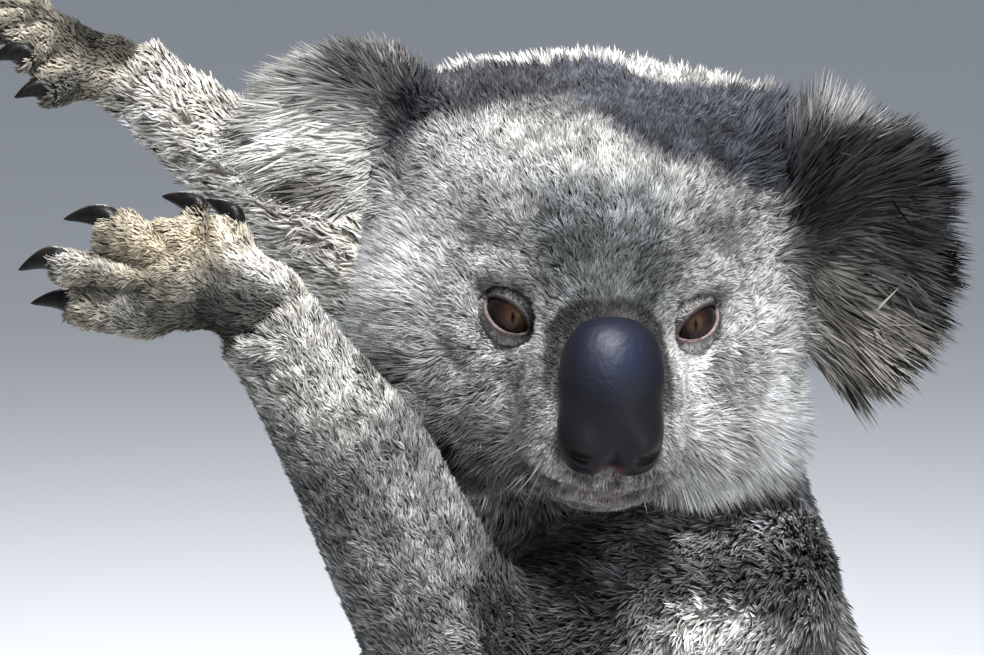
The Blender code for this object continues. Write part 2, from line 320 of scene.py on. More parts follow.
def flesh_copy(name, node, head):
    """A node's solid, grown a little so that it meets its neighbours, with an ear drawn in to its flesh."""
    places, triangles = node_mesh(node)
    places = places + vertex_normals(places, triangles) * FLESH_GROWTH
    if name.startswith("ear_"):
        ear = EARS[name[4:]]
        out, up, _ = ear_axes(name[4:], head)
        away = places - head.outwards(ear["root"])
        for axis, kept in zip((out, up), ear["flesh"]):
            places = places - np.outer(away @ axis, axis) * (1 - kept)
    return places, triangles


def nose_bed(node, head):
    """The nose's solid, smaller and further back, to fill its hollow in the head."""
    places, triangles = node_mesh(node)
    places = places - vertex_normals(places, triangles) * NOSE_BED_INSET
    return places + head.turned(np.array((0, NOSE_BED_SETBACK, 0))), triangles


def fused(meshes):
    """One closed skin of even quads round overlapping solids: places and quads."""
    clay = mesh_object("clay", *joined(meshes))
    remesh = clay.modifiers.new("fuse", "REMESH")
    remesh.mode = "VOXEL"
    remesh.voxel_size = VOXEL * MM
    graph = bpy.context.evaluated_depsgraph_get()
    mesh = bpy.data.meshes.new_from_object(clay.evaluated_get(graph))
    places = rows_of(mesh.vertices, "co", 3).astype(float) / MM
    quads = rows_of(mesh.loops, "vertex_index", 1, np.int32).reshape(-1, 4)
    bpy.data.objects.remove(clay)
    bpy.data.meshes.remove(mesh)
    return largest_island(places, quads)


def largest_island(places, quads):
    """Only the biggest connected piece."""
    label = np.arange(len(places))
    while True:
        lowest = label[quads].min(axis=1)
        before = label.copy()
        for k in range(4):
            np.minimum.at(label, quads[:, k], lowest)
        label = label[label]
        if (label == before).all():
            break
    names, counts = np.unique(label, return_counts=True)
    kept = label == names[counts.argmax()]
    new = np.cumsum(kept) - 1
    return places[kept], new[quads[kept[quads[:, 0]]]]


def split_quads(quads):
    """Two triangles for each quad."""
    return np.concatenate([quads[:, [0, 1, 2]], quads[:, [0, 2, 3]]])


class Neighbours:
    """The vertices joined to each vertex, for smoothing."""

    def __init__(self, quads, count):
        ends = np.concatenate([quads[:, [k, (k + 1) % 4]] for k in range(4)])
        ends = np.unique(np.concatenate([ends, ends[:, ::-1]]), axis=0)
        start = np.searchsorted(ends[:, 0], np.arange(count + 1))
        self.degree = np.diff(start)
        most = self.degree.max()
        self.table = np.repeat(np.arange(count)[:, None], most, axis=1)
        self.table[ends[:, 0], np.arange(len(ends)) - start[ends[:, 0]]] = ends[:, 1]
        self.padding = most - self.degree

    def smooth(self, values, rounds, strength=0.5):
        """Moves each value towards its neighbours' mean; strength is one number or one for each vertex."""
        values = np.asarray(values, float)
        flat = values.ndim == 1
        rows = values[:, None] if flat else values
        strength = np.broadcast_to(strength, len(rows))[:, None]
        for _ in range(rounds):
            total = rows[self.table].sum(axis=1) - rows * self.padding[:, None]
            rows = rows + strength * (total / self.degree[:, None] - rows)
        return rows[:, 0] if flat else rows


def regions_of(places, flesh):
    """The region of the node nearest to each place."""
    owners = []
    for name, (_, triangles) in flesh.items():
        stem, _, side = name.rpartition("_")
        kind = REGION_OF_NODE[stem if side in SIDES else name]
        region = f"{kind}_{side}" if side in SIDES else kind
        owners += [REGIONS.index(region)] * len(triangles)
    tree = tree_of(*joined(list(flesh.values())))
    nearest = [tree.find_nearest(place)[2] for place in places.tolist()]
    return np.array(owners)[nearest]


def by_region(regions, trait):
    """A coat trait for each vertex, from its region."""
    column = TRAITS.index(trait)
    table = [COAT[name.split("_")[0]][column] for name in REGIONS]
    return np.array(table, float)[regions]


def of_kind(regions, *kinds):
    """Whether each vertex lies in one of these kinds of region."""
    wanted = [k for k, name in enumerate(REGIONS) if name in kinds or name.split("_")[0] in kinds]
    return np.isin(regions, wanted)


# ---- the body's lie of hair ----


def joint_middle(frame, first, second):
    """The middle of the first node's rim where the second one meets it."""
    places, _ = node_mesh(frame["nodes"][first])
    tree = tree_of(*node_mesh(frame["nodes"][second]))
    near = [tree.find_nearest(place, JOINT_GAP)[0] is not None for place in places.tolist()]
    return places[np.array(near)].mean(axis=0)


def limb_line(frame, names):
    """Points along a limb: its first node's middle, each joint, and its last node's far end."""
    points = [box_middle(names[0])]
    for before, after in zip(names, names[1:]):
        points.append(joint_middle(frame, before, after))
    end = box_middle(names[-1])
    points.append(end + (end - points[-1]) * 0.8)
    return np.array(points)


def along_line(places, line):
    """Where places lie by a bent line: its way near them, how far along it, and its nearest point."""
    total = np.zeros_like(places)
    best = np.full(len(places), np.inf)
    reach = np.zeros(len(places))
    foot = np.zeros_like(places)
    done = 0.0
    for start, end in zip(line, line[1:]):
        span = np.linalg.norm(end - start)
        way = (end - start) / span
        share = np.clip((places - start) @ way, 0, span)
        nearest = start + share[:, None] * way
        away = np.linalg.norm(places - nearest, axis=1)
        total += np.exp(-away / BEND_BLEND)[:, None] * way
        closer = away < best
        best[closer] = away[closer]
        reach[closer] = done + share[closer]
        foot[closer] = nearest[closer]
        done += span
    return unit(total), reach, foot


def head_lie(places, head):
    """Fur on the head runs away from the nose, back over the crown and down the nape and throat."""
    own = head.inwards(places)
    _, y, z = own.T
    back = step(10, 60, y)
    low = step(-25, -60, z)
    upper = step(-5, 30, z) * step(-10, -45, y)
    way = unit(own - np.array(FUR_SOURCE))
    for share, pull in (
        (back, (0, 0.2, -1.1)), (low, (0, 0.3, -0.6)),
        (upper, (0, 0.3, 0.5)), (blob(own, *EAR_BRIDGE), (1.0, -0.8, 1.0)),
    ):
        way = way + np.outer(share, pull)
    return head.turned(unit(way))


def ear_lie(places, side, head):
    """Ear fur fans out from the ear's root and is swept outwards and down, except along the top."""
    out, up, _ = ear_axes(side, head)
    fan = unit(places - head.outwards(EARS[side]["root"]))
    _, height, _ = ear_own(places, side, head)
    outward, upward = EARS[side]["sweep"]
    swept = 1 - step(8, 18, height)
    way = fan + swept[:, None] * (out * outward + up * upward)
    way = way + inner_top(places, side, head)[:, None] * (up * 0.9 - out * 0.8)
    return unit(way)


def inner_top(places, side, head):
    """1 at the top of an ear, next to the crown."""
    outward, upward, _ = ear_own(places, side, head)
    return step(-6, -20, outward) * step(4, 18, upward)


def lie_of_hair(skin, head, lines):
    """The way the coat lies at each skin vertex, not yet laid flat."""
    places = skin.places
    way = np.tile(np.array((0.12, 0.0, -1.0)), (len(places), 1))
    way[:, :2] += unit(places[:, :2] - box_middle("trunk")[:2]) * 0.25
    headward = head_lie(places, head)
    for k, name in enumerate(REGIONS):
        chosen = skin.regions == k
        kind, _, side = name.partition("_")
        if kind == "head":
            way[chosen] = headward[chosen]
        elif kind == "ear":
            way[chosen] = ear_lie(places[chosen], side, head)
        elif kind in LIMB_OF:
            limb = LIMB_OF[kind]
            sag = np.array((0, 0, HAIR_SAG[limb]))
            way[chosen] = along_line(places[chosen], lines[f"{limb}_{side}"])[0] + sag
    return way


# ---- eyes and lids ----


class EyeFrame:
    """One eye's place, the plane and slant of its lids, and its gaze."""

    FACING = (0.42, -0.90, 0.05)
    GAZE = (0.08, -0.99, 0.04)
    SLANT = math.radians(31)
    HALF_LENGTH = 7.6
    HALF_HEIGHT = 4.3
    LOWER = 0.82  # the lower half's share of that height
    RECESS = 3.6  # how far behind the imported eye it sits
    BACK = -9  # how far behind its middle the face round it reaches

    def __init__(self, side, head):
        self.side = SIDES[side]
        self.facing = unit(head.turned(np.array(self.FACING) * (self.side, 1, 1)))
        self.gaze = unit(head.turned(np.array(self.GAZE) * (self.side, 1, 1)))
        front = head.turned(np.array((0, -1.0, 0)))
        drift = self.facing - front
        self.centre = box_middle("eye_" + side) - drift * EYE_RADIUS * 0.8 - front * self.RECESS
        up = head.turned(np.array((0.0, 0.0, 1.0)))
        across = unit(np.cross(self.facing, up)) * -self.side
        up = unit(np.cross(self.facing, across)) * self.side
        c, s = math.cos(self.SLANT), math.sin(self.SLANT)
        self.out = across * c + up * s  # along the opening, to its high outer corner
        self.over = up * c - across * s  # across the opening, to the upper lid

    def opening(self, angles):
        """The lid margin at angles from the outer corner, as distances along and across the opening."""
        u = self.HALF_LENGTH * np.cos(angles)
        pinch = 1 - 0.12 * np.cos(angles) ** 2
        w = self.HALF_HEIGHT * np.sin(angles) * pinch * np.where(np.sin(angles) < 0, self.LOWER, 1)
        return u, w

    def around(self, places):
        """Distances along the opening, across it and forward, and how far outside the lid margin."""
        away = places - self.centre
        own = np.stack([away @ self.out, away @ self.over, away @ self.facing], axis=1)
        angle = np.arctan2(own[:, 1] / self.HALF_HEIGHT, own[:, 0] / self.HALF_LENGTH)
        return own, np.hypot(own[:, 0], own[:, 1]) - np.hypot(*self.opening(angle))

    def world(self, own):
        return self.centre + own[:, :1] * self.out + own[:, 1:2] * self.over + own[:, 2:] * self.facing


def sink_socket(places, eye):
    """Pushes the skin back behind the eyeball, where the lids then cover it."""
    own, outside = eye.around(places)
    share = (1 - step(1.2, 5.0, outside)) * (own[:, 2] > -6)
    own[:, 2] = own[:, 2] * (1 - share) + np.minimum(own[:, 2], -1.5) * share
    return np.where((share > 0)[:, None], eye.world(own), places)


# How far outside the lid margin, height over the eyeball, and how much of the height is the face's own
LID_ROWS = (
    (-0.25, -0.25, 0.0),
    (0.0, 0.35, 0.0),
    (0.35, 0.7, 0.0),
    (0.9, 0.85, 0.05),
    (1.6, 0.9, 0.15),
    (2.4, 0.9, 0.35),
    (3.4, 0.8, 0.6),
    (4.6, 0.6, 0.82),
    (6.0, 0.3, 0.96),
    (7.6, -0.6, 1.0),
)
LID_AROUND = 72


LID_CLEAR = 0.6  # the least height of a lid over the eyeball


def lid_ring(eye, face_tree):
    """The lids as one ring of rows from the eyeball out onto the face: places and quads."""
    u, w = eye.opening(all_round(LID_AROUND))
    length = np.hypot(u, w)
    rows = []
    for outside, height, face_share in LID_ROWS:
        scale = (length + outside) / length
        own = np.stack([u * scale, w * scale, np.zeros_like(u)], axis=1)
        flat = np.hypot(own[:, 0], own[:, 1])
        own[:, 2] = dome_height(flat, EYE_RADIUS + height)
        face = face_height(eye, own, face_tree) + height * face_share
        own[:, 2] = own[:, 2] * (1 - face_share) + face * face_share
        if outside > 0.3:
            clear = dome_height(flat, EYE_RADIUS + LID_CLEAR)
            own[:, 2] = np.where(clear > 0, np.maximum(own[:, 2], clear), own[:, 2])
        rows.append(eye.world(own))
    quads = ring_quads(len(LID_ROWS), LID_AROUND)
    return np.concatenate(rows), quads[:, ::-1] if eye.side > 0 else quads


def dome_height(flat, radius):
    """The height of a ball's front at distances from its axis, and 0 beyond its rim."""
    return np.sqrt(np.maximum(radius**2 - flat**2, 0))


def ring_quads(rows, around):
    """Quads between rows of places that close round on themselves."""
    row, k = np.meshgrid(np.arange(rows - 1) * around, np.arange(around), indexing="ij")
    after = (k + 1) % around
    quads = np.stack([row + k, row + after, row + around + after, row + around + k], axis=-1)
    return quads.reshape(-1, 4)


def face_height(eye, own, face_tree):
    """How far forward of the eye's middle the face lies, at places seen along the eye's facing."""
    heights = []
    for place in eye.world(own * (1, 1, 0)):
        start = Vector((place + eye.facing * 40).tolist())
        hit = face_tree.ray_cast(start, Vector((-eye.facing).tolist()))[0]
        heights.append(float((np.array(hit) - eye.centre) @ eye.facing) if hit else 0.0)
    return np.array(heights)


EYE_ROWS, EYE_AROUND = 72, 96
CORNEA = 0.5  # how far it stands out of the ball


def eyeball(side, eye):
    """A fine ball with its pole where it gazes and a raised cornea, painted as iris and pupil."""
    tilt = (np.arange(EYE_ROWS + 1) / EYE_ROWS) ** 1.4 * math.pi
    tilts, turns = np.meshgrid(tilt, all_round(EYE_AROUND), indexing="ij")
    radius = EYE_RADIUS - 0.1 + CORNEA * np.exp(-((tilts / 0.62) ** 4))
    across = unit(np.cross((0, 0, 1.0), eye.gaze))
    axes = np.array((across, np.cross(eye.gaze, across), eye.gaze))
    own = np.stack([np.sin(tilts) * np.cos(turns), np.sin(tilts) * np.sin(turns), np.cos(tilts)], axis=-1)
    own = (own * radius[..., None]).reshape(-1, 3)
    quads = ring_quads(EYE_ROWS + 1, EYE_AROUND)[:, ::-1]
    ball = mesh_object("eyeball_" + side, eye.centre + own @ axes, quads)
    paint(ball, "eye", iris_colours(own[:, 0], own[:, 1]))
    return ball


def iris_colours(across, up):
    """Dark brown, golden in the middle, with a thin upright pupil; darkest at the edge, partly painted
    shade of the brow and lids.
    """
    away = np.hypot(across, up)
    angle = np.arctan2(up, across)
    streaks = 0.5 + 0.5 * np.sin(angle * 41 + 3 * np.sin(angle * 7))
    gold = (1 - step(0.8, 3.4, away)) * (0.6 + 0.4 * streaks)
    pupil = 1 - step(0.35, 0.8, np.hypot(across, up * 0.30))
    return layered(
        # darkest at the edge: dark brown deepened with painted shade of the brow and lids
        (0.006, 0.004, 0.004),
        ((0.020, 0.010, 0.007), 1 - step(3.0, 5.6, away)),
        ((0.055, 0.033, 0.014), gold * 0.85),
        ((0.002, 0.001, 0.001), pupil),
    )


# ---- nose ----


NOSE_HALF = np.array((16.1, 12.5, 23.6))
NOSE_ROWS = 110
NOSE_AROUND = 160


def nose_edge(turn):
    """How far the shield reaches each way round: square below, rounder above."""
    c, s = np.cos(turn), np.sin(turn)
    power = np.where(s > 0, 2.7, 4.0)
    return (np.abs(c / NOSE_HALF[0]) ** power + np.abs(s / NOSE_HALF[2]) ** power) ** (-1 / power)


def past_nose(own):
    """How far places in the head's frame lie beyond the nose's outline, seen from the front."""
    away = own - NOSE_PLACE
    return np.hypot(away[:, 0], away[:, 2]) - nose_edge(np.arctan2(away[:, 2], away[:, 0]))


def nose_relief(x, z):
    """How far wings, ridge and groove stand out of the dome, and how deep the hollows are, in mm."""
    wings = 1.6 * both_sides(x, z, (9.5, -16.5), (4.4, 5.0))
    ridge = 0.8 * np.exp(-((x / 6.0) ** 2)) * step(-14, 4, z)
    hollow = -0.9 * both_sides(x, z, (9.5, -6.0), (5.0, 6.0))
    groove = -1.5 * np.exp(-((x / 0.9) ** 2)) * step(-14, -18, z)
    return wings + ridge + hollow + groove


def nostrils(x, z):
    """1 inside the two nostrils: slits that curl up at their outer ends."""
    found = np.zeros_like(x)
    for side in (-1, 1):
        out = side * x
        bend = 0.10 * (out - 8.0) ** 2
        slit = np.exp(-(((z + 19.2 - bend) / 1.3) ** 2) - (((out - 10.2) / 3.6) ** 4))
        found = np.maximum(found, slit)
    return found


def nose_piece(head):
    """The leather shield: a fine dome whose edge tucks back into the fur."""
    tilts = np.linspace(0, math.pi * 0.82, NOSE_ROWS)
    tilt, turn = np.meshgrid(tilts, all_round(NOSE_AROUND), indexing="ij")
    front = np.minimum(tilt, math.pi / 2)
    tuck = tilt - front
    share = np.sin(front)
    dome = (1 - share**2.7) ** 0.45
    edge = nose_edge(turn) * (1 - 0.30 * tuck)
    x, z = share * edge * np.cos(turn), share * edge * np.sin(turn)
    x = x * (1 - 0.05 * np.exp(-(((z + 2) / 5) ** 2)))
    height = z / NOSE_HALF[2]
    z = z + 2.6 * np.exp(-((x / 2.8) ** 2)) * step(-0.6, -1.0, height)
    depth = NOSE_HALF[1] * (1 - 0.20 * height - 0.10 * height**2) * dome
    shown = tilt < math.pi / 2
    relief = nose_relief(x, z) * np.cos(front) ** 0.3
    holes = nostrils(x, z) * shown
    y = -depth - relief * shown + holes * 2.5 + tuck * 9
    own = np.stack([x, y, z], axis=-1).reshape(-1, 3)
    pebbles = NOISES[3](own, 0.9) * 0.05 + NOISES[4](own, 0.5) * 0.04
    own[:, 1] -= pebbles * shown.ravel()
    lean = np.array(Euler((-NOSE_LEAN, 0, 0)).to_matrix())
    places = head.outwards(own @ lean.T + NOSE_PLACE)
    nose = mesh_object("nose_leather", places, ring_quads(NOSE_ROWS, NOSE_AROUND)[:, ::-1])
    paint(nose, "nose", nose_colours(x.ravel(), z.ravel(), holes.ravel(), share.ravel()))
    return nose


def nose_colours(x, z, holes, share):
    """Black leather with a painted blue-grey sheen of the sky over the top, pink at the cleft below."""
    cleft = np.exp(-((x / 3.6) ** 2)) * step(-20.0, -22.5, z) * step(0.85, 0.97, share)
    return layered(
        (0.007, 0.007, 0.009),
        # painted sheen: blue-grey over the top of the nose
        ((0.012, 0.018, 0.042), spot(x, z, (0, 13), (9.0, 10.0)) * 0.8),
        ((0.016, 0.012, 0.012), both_sides(x, z, (8.5, -14.0), (3.0, 3.0)) * 0.4),
        ((0.16, 0.07, 0.07), cleft * 0.9),
        ((0.002, 0.002, 0.002), np.clip(holes * 1.3, 0, 1)),
    )


# ---- skin ----


def coat_depth(places, regions, head):
    """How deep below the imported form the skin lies."""
    depth = by_region(regions, "depth")
    own = head.inwards(places)
    x, _, z = own.T
    bridge = blob(own, (0, -60, -20), (30, 26, 34))
    eyes = blob(own, EYE_PLACE, (16, 16, 14)) + blob(own, EYE_PLACE * (-1, 1, 1), (16, 16, 14))
    cheeks = step(22, 52, np.abs(x)) * step(0, -30, z) * 2.0
    jowls = step(-32, -52, z) * 3.0
    face = depth + cheeks - jowls - 2.4 * np.clip(bridge + eyes, 0, 1.2)
    return np.where(of_kind(regions, "head"), face, depth)


def is_flesh(name):
    """Whether a node is part of the body that the skin wraps."""
    return not name.startswith(("claw", "eye", "nose"))


# How many rounds of smoothing the form gets, and how far each one moves each kind of region
FORM_ROUNDS = 44
LOOSENESS = (
    (0.05, ("hand", "foot")),
    (0.2, ("ear",)),
    (0.32, ("head",)),
    (0.5, ("trunk", "arm", "leg")),
)
DEPTH_ROUNDS = 30
WRIST_ROUNDS = 90
WRIST_REACH = (25, 25, 25)
LOWEST = 0.3  # the skin stays above the floor


def make_form(frame, head):
    """The body without its coat, before the face's detail: one skin, its regions and who adjoins whom."""
    nodes = frame["nodes"]
    flesh = {name: flesh_copy(name, nodes[name], head) for name in nodes if is_flesh(name)}
    places, quads = fused([*flesh.values(), nose_bed(nodes["nose"], head)])
    regions = regions_of(places, flesh)
    near = Neighbours(quads, len(places))
    loose = sum(strength * of_kind(regions, *kinds) for strength, kinds in LOOSENESS)
    places = near.smooth(places, FORM_ROUNDS, near.smooth(loose, 6))
    depth = near.smooth(coat_depth(places, regions, head), DEPTH_ROUNDS)
    normals = vertex_normals(places, split_quads(quads))
    places = places - normals * depth[:, None]
    places[:, 2] = np.maximum(places[:, 2], LOWEST)
    places = near.smooth(places, 3, 0.3)
    wrists = [joint_middle(frame, "forearm_" + side, "hand_" + side) for side in SIDES]
    ease = sum(blob(places, wrist, WRIST_REACH) for wrist in wrists)
    places = near.smooth(places, WRIST_ROUNDS, 0.5 * np.minimum(ease, 1))
    weights = near.smooth(np.eye(len(REGIONS))[regions], 12)
    return SimpleNamespace(places=places, quads=quads, regions=regions, weights=weights, near=near)


def crease(places, start, end, width):
    """1 along the line between two places, falling to nearly 0 at its width."""
    start, end = np.array(start, float), np.array(end, float)
    along = np.clip((places - start) @ (end - start) / ((end - start) @ (end - start)), 0, 1)
    away = np.linalg.norm(places - start - along[:, None] * (end - start), axis=1)
    return np.exp(-1.6 * (away / width) ** 2)


def mouth_line(own):
    """1 along the mouth: under the nose and up at both corners."""
    x, y, z = own.T
    height = z + 49.5 - 0.011 * x**2
    return np.exp(-((height / 1.3) ** 2)) * step(23, 17, np.abs(x)) * step(-38, -46, y)


def sculpt_face(skin, head, eyes):
    """Chin, mouth, orbits and the fold down the left cheek, pushed into the skin along its own normals."""
    places = skin.places
    normals = vertex_normals(places, split_quads(skin.quads))
    own = head.inwards(places)
    chin = 2.0 * blob(own, (0, -62, -57), (17, 16, 7))
    fold = 1.5 * crease(own, (41, -34, -16), (48, -28, -36), 9.0)
    fold = fold - 2.2 * crease(own, (46, -30, -7), (56, -20, -30), 4.0)
    past = past_nose(own)
    collar = 3.6 * step(10, 1.5, past) * step(-5, 0, past)
    collar = collar * step(-34, -44, own[:, 1]) * step(-8, -20, own[:, 2])
    collar = skin.near.smooth(collar, 4)
    lip = 2.2 * blob(own, (0, -66, -50), (17, 16, 6))
    push = chin + collar + lip - 2.4 * mouth_line(own) + fold
    for eye in eyes.values():
        local, outside = eye.around(places)
        ring = step(-2, 3, outside) * step(17, 6, outside) * (local[:, 2] > eye.BACK)
        push += 3.8 * ring * (0.1 + 0.9 * step(-7, 6, local[:, 0]))
    push *= of_kind(skin.regions, "head")
    skin.places = places + normals * push[:, None]


def part_digits(skin, frame):
    """Furrows between the digits of hands and feet, from the knuckles to the claws."""
    places = skin.places
    normals = vertex_normals(places, split_quads(skin.quads))
    push = np.zeros(len(places))
    for paw in (f"{limb}_{side}" for limb in ("hand", "foot") for side in SIDES):
        bases = [box_middle(name) for name in frame["nodes"] if name.startswith("claw_" + paw)]
        push -= furrow_depth(places, box_middle(paw), bases) * of_kind(skin.regions, paw)
    push = skin.near.smooth(push, 1)
    skin.places = places + normals * push[:, None]
    skin.furrow = np.clip(-push / 4.0, 0, 1)


def furrow_depth(places, middle, bases):
    """How deep the furrows are between the lines from a paw's middle to its claws."""
    reach = np.linalg.norm(np.array(bases) - middle, axis=1).max()
    away = []
    for base in bases:
        span = base - middle
        along = np.clip((places - middle) @ span / (span @ span), 0.1, 1)
        away.append(np.linalg.norm(places - middle - along[:, None] * span, axis=1))
    nearest = np.sort(away, axis=0)
    between = np.exp(-(((nearest[1] - nearest[0]) / 2.2) ** 2))
    return FURROW_DEPTH * between * step(0.15, 0.45, np.linalg.norm(places - middle, axis=1) / reach)


def make_skin(frame, head, eyes):
    """The one skin: the smoothed form, the sculpted face and a ring of lids round each eye."""
    skin = make_form(frame, head)
    sculpt_face(skin, head, eyes)
    part_digits(skin, frame)
    face_tree = tree_of(skin.places, skin.quads)
    rings = [lid_ring(eye, face_tree) for eye in eyes.values()]
    for eye in eyes.values():
        skin.places = sink_socket(skin.places, eye)
    skin.places, skin.quads = joined([(skin.places, skin.quads), *rings])
    added = len(skin.places) - len(skin.regions)
    in_head = np.full(added, REGIONS.index("head"))
    skin.weights = np.concatenate([skin.weights, np.eye(len(REGIONS))[in_head]])
    skin.regions = np.concatenate([skin.regions, in_head])
    skin.furrow = np.concatenate([skin.furrow, np.zeros(added)])
    skin.normals = vertex_normals(skin.places, split_quads(skin.quads))
    return skin


# ---- markings ----


COAT_RANGE = (0.003, 0.95)  # the darkest and lightest that the coat gets
MOTTLE = ((5, 10.0, 0.25), (4, 4.2, 0.45), (3, 1.9, 0.65))  # which noise, its size and its strength


def grey(value, tint):
    """A tint made as light as a value, or as each of many values."""
    return np.array(tint, float) * np.asarray(value)[..., None]


WARM = (1.03, 1.0, 0.95)
COOL = (0.92, 1.0, 1.3)
PLAIN = (1.01, 1.0, 0.97)

SLATE = (0.98, 1.0, 1.03)
TAN = (1.19, 1.0, 0.71)

# Soft marks: middle, radii, how light, tint and how strong. These are in the head's own frame
HEAD_MARKS = (
    ((-14, -28, 48), (54, 36, 17), 0.23, WARM, 0.95),  # pale forehead
    ((-44, -16, 26), (18, 26, 22), 0.78, PLAIN, 0.85),  # temples
    ((-58, -2, 0), (18, 30, 34), 0.80, PLAIN, 0.9),
    ((54, -22, -2), (14, 22, 16), 0.35, PLAIN, 0.9),
    ((28, -38, 22), (14, 20, 16), 0.30, PLAIN, 0.7),
    ((8, -48, 10), (17, 18, 12), 0.09, PLAIN, 0.8),
    ((-38, -36, -26), (28, 28, 25), 0.44, PLAIN, 0.9),  # right cheek, with painted shade along its lower edge and by the corner of the mouth
    ((-27, -48, -34), (9, 15, 10), 0.55, PLAIN, 0.8),
    # painted shadow under the jaw, where the arm shades the cheek
    ((-44, -26, -47), (27, 30, 19), 0.032, PLAIN, 0.95),
    ((-54, -24, -34), (10, 26, 17), 0.10, PLAIN, 0.8),
    ((-22, -52, -50), (12, 18, 9), 0.10, PLAIN, 0.85),
    ((-19, -56, -28), (5, 22, 17), 0.24, PLAIN, 0.8),
    ((27, -44, -27), (9, 26, 26), 0.95, PLAIN, 0.97),  # left cheek: white, a grey patch, white again
    ((50, -22, -30), (13, 24, 24), 0.95, PLAIN, 0.97),
    ((36, -36, -27), (5, 20, 15), 0.28, PLAIN, 0.85),
    ((40, -28, -54), (26, 28, 10), 0.62, PLAIN, 0.8),
    ((-34, -35, 9), (13, 16, 8), 0.60, PLAIN, 0.85),  # light lids
    ((30, -35, 9), (11, 15, 8), 0.55, PLAIN, 0.85),
    ((0, -62, -52), (20, 24, 12), 0.10, (1.22, 1.0, 0.96), 0.92),  # lips and chin: grey-pink, the chin's pale fur darkened with painted shade
    ((0, -56, -66), (20, 18, 5), 0.45, WARM, 0.7),
    ((-57, 6, 42), (13, 18, 21), 0.04, COOL, 0.97),  # beside the right ear
)
BROW_LINES = (((20, -39, -1), (33, -32, 7)), ((21, -40, 5), (38, -30, 12)))  # creases over the left eye, painted as dark lines of shade


# On the left hand, in the row frame
HAND_MARKS = (
    ((-72, -106, 358), (26, 22, 10), 0.58, TAN, 0.95),
    ((-44, -110, 345), (18, 20, 14), 0.85, WARM, 0.85),
    ((-60, -114, 341), (11, 16, 8), 0.24, WARM, 0.9),
    ((-84, -110, 338), (13, 16, 8), 0.20, PLAIN, 0.85),
    ((-44, -116, 331), (12, 16, 8), 0.34, WARM, 0.8),
    ((-93, -110, 351), (6, 16, 5), 0.12, PLAIN, 0.8),
    ((-106, -110, 356), (9, 16, 8), 0.48, WARM, 0.9),
)

# On the right ear, in its own frame: a white fringe round a dark dish
EAR_MARKS = (
    ((4, -5, 0), (28, 12, 20), 0.85, (1.0, 1.0, 0.92), 0.9),
    ((-8, 15, 0), (14, 12, 20), 0.22, PLAIN, 0.8),
    ((-27, 8, 0), (12, 28, 20), 0.03, COOL, 0.97),
    ((0, -19, 0), (17, 8, 20), 0.05, (1.1, 1.0, 0.9), 0.95),
)


def mark_layers(places, marks):
    """Soft marks as layers of colour."""
    for middle, radii, value, tint, strength in marks:
        yield grey(value, tint), blob(places, middle, radii) * strength


def head_markings(own):
    """Colour of the head's coat at places in its own frame."""
    x, y, z = own.T
    brow = step(-22, -12, x + 0.25 * (z - 8)) * step(19, 12, x)
    brow = brow * step(-6, 2, z) * step(41, 30, z) * step(-10, -25, y)
    # The crown's band: darker fur deepened with painted shade, in the blue tint of shade under the sky
    edge = 52 - 0.47 * np.maximum(x + 5, 0) - 0.4 * np.maximum(x - 48, 0)
    edge = edge - 0.30 * np.maximum(-14 - x, 0) + NOISES[4](own, 14.0) * 3
    dark_crown_and_shade = step(edge - 3, edge + 3, z) * step(14, 22, z)
    # A painted rim of light over the top of the crown, reaching further forward and dimmer towards the left
    to_left = step(5, 22, x)
    rim_light_start = 17 - 13 * to_left
    painted_rim_light = step(rim_light_start, rim_light_start + 7, y) * step(48, 34, y) * step(34, 44, z)
    nape = step(38, 60, y) * step(44, 20, z)
    # Painted shade: a dark line in the fur round the nose's upper edge
    arch = step(3.0, 1.0, past_nose(own)) * step(-32, -20, z) * step(-40, -50, y)
    return layered(
        grey(0.30, PLAIN),
        *mark_layers(own, HEAD_MARKS),
        # painted shade in the creases over the left eye
        *((grey(0.10, PLAIN), crease(own, start, end, 1.5) * 0.75) for start, end in BROW_LINES),
        (grey(0.084 + 0.08 * step(12, 30, z), (0.92, 1.0, 1.02)), brow * 0.9),
        # dark crown fur with painted shade
        (grey(0.029 - 0.015 * step(5, -20, x), COOL), dark_crown_and_shade * 0.97),
        # painted rim light
        (grey(0.55 - 0.27 * to_left, WARM), painted_rim_light * 0.9),
        (grey(0.22, SLATE), nape * 0.8),
        # painted shade round the nose's top
        (grey(0.02, PLAIN), arch * 0.9),
    )


def body_markings(places):
    """Colour of the coat on the trunk and limbs: grey, pale in front and behind, with a painted shadow of
    the head under the chin.
    """
    x, y, z = places.T
    middle = box_middle("trunk")[0]
    belly = step(middle + 5, middle - 60, x)
    rump = step(100, 30, z) * step(middle, middle + 60, x)
    edge = z + NOISES[0](places, 16.0) * 7
    # Painted shadow of the head on the throat and chest under the chin, darker still towards the back
    throat = step(237, 248, edge) * step(25, -35, y) * step(5, 30, x)
    chin_shadow_grey = 0.22 - 0.15 * step(60, 75, x) * step(268, 259, z)
    bib = step(249, 241, edge) * step(165, 205, z) * step(-20, -60, y) * step(74, 85, x) * step(118, 102, x)
    return layered(
        grey(0.30, PLAIN),
        (grey(0.60, (1.0, 0.98, 0.94)), belly * 0.85),
        (grey(0.48, (1.0, 0.97, 0.92)), rump * 0.7),
        (grey(chin_shadow_grey, SLATE), throat * 0.93),
        (grey(0.85, WARM), bib * 0.93),
    )


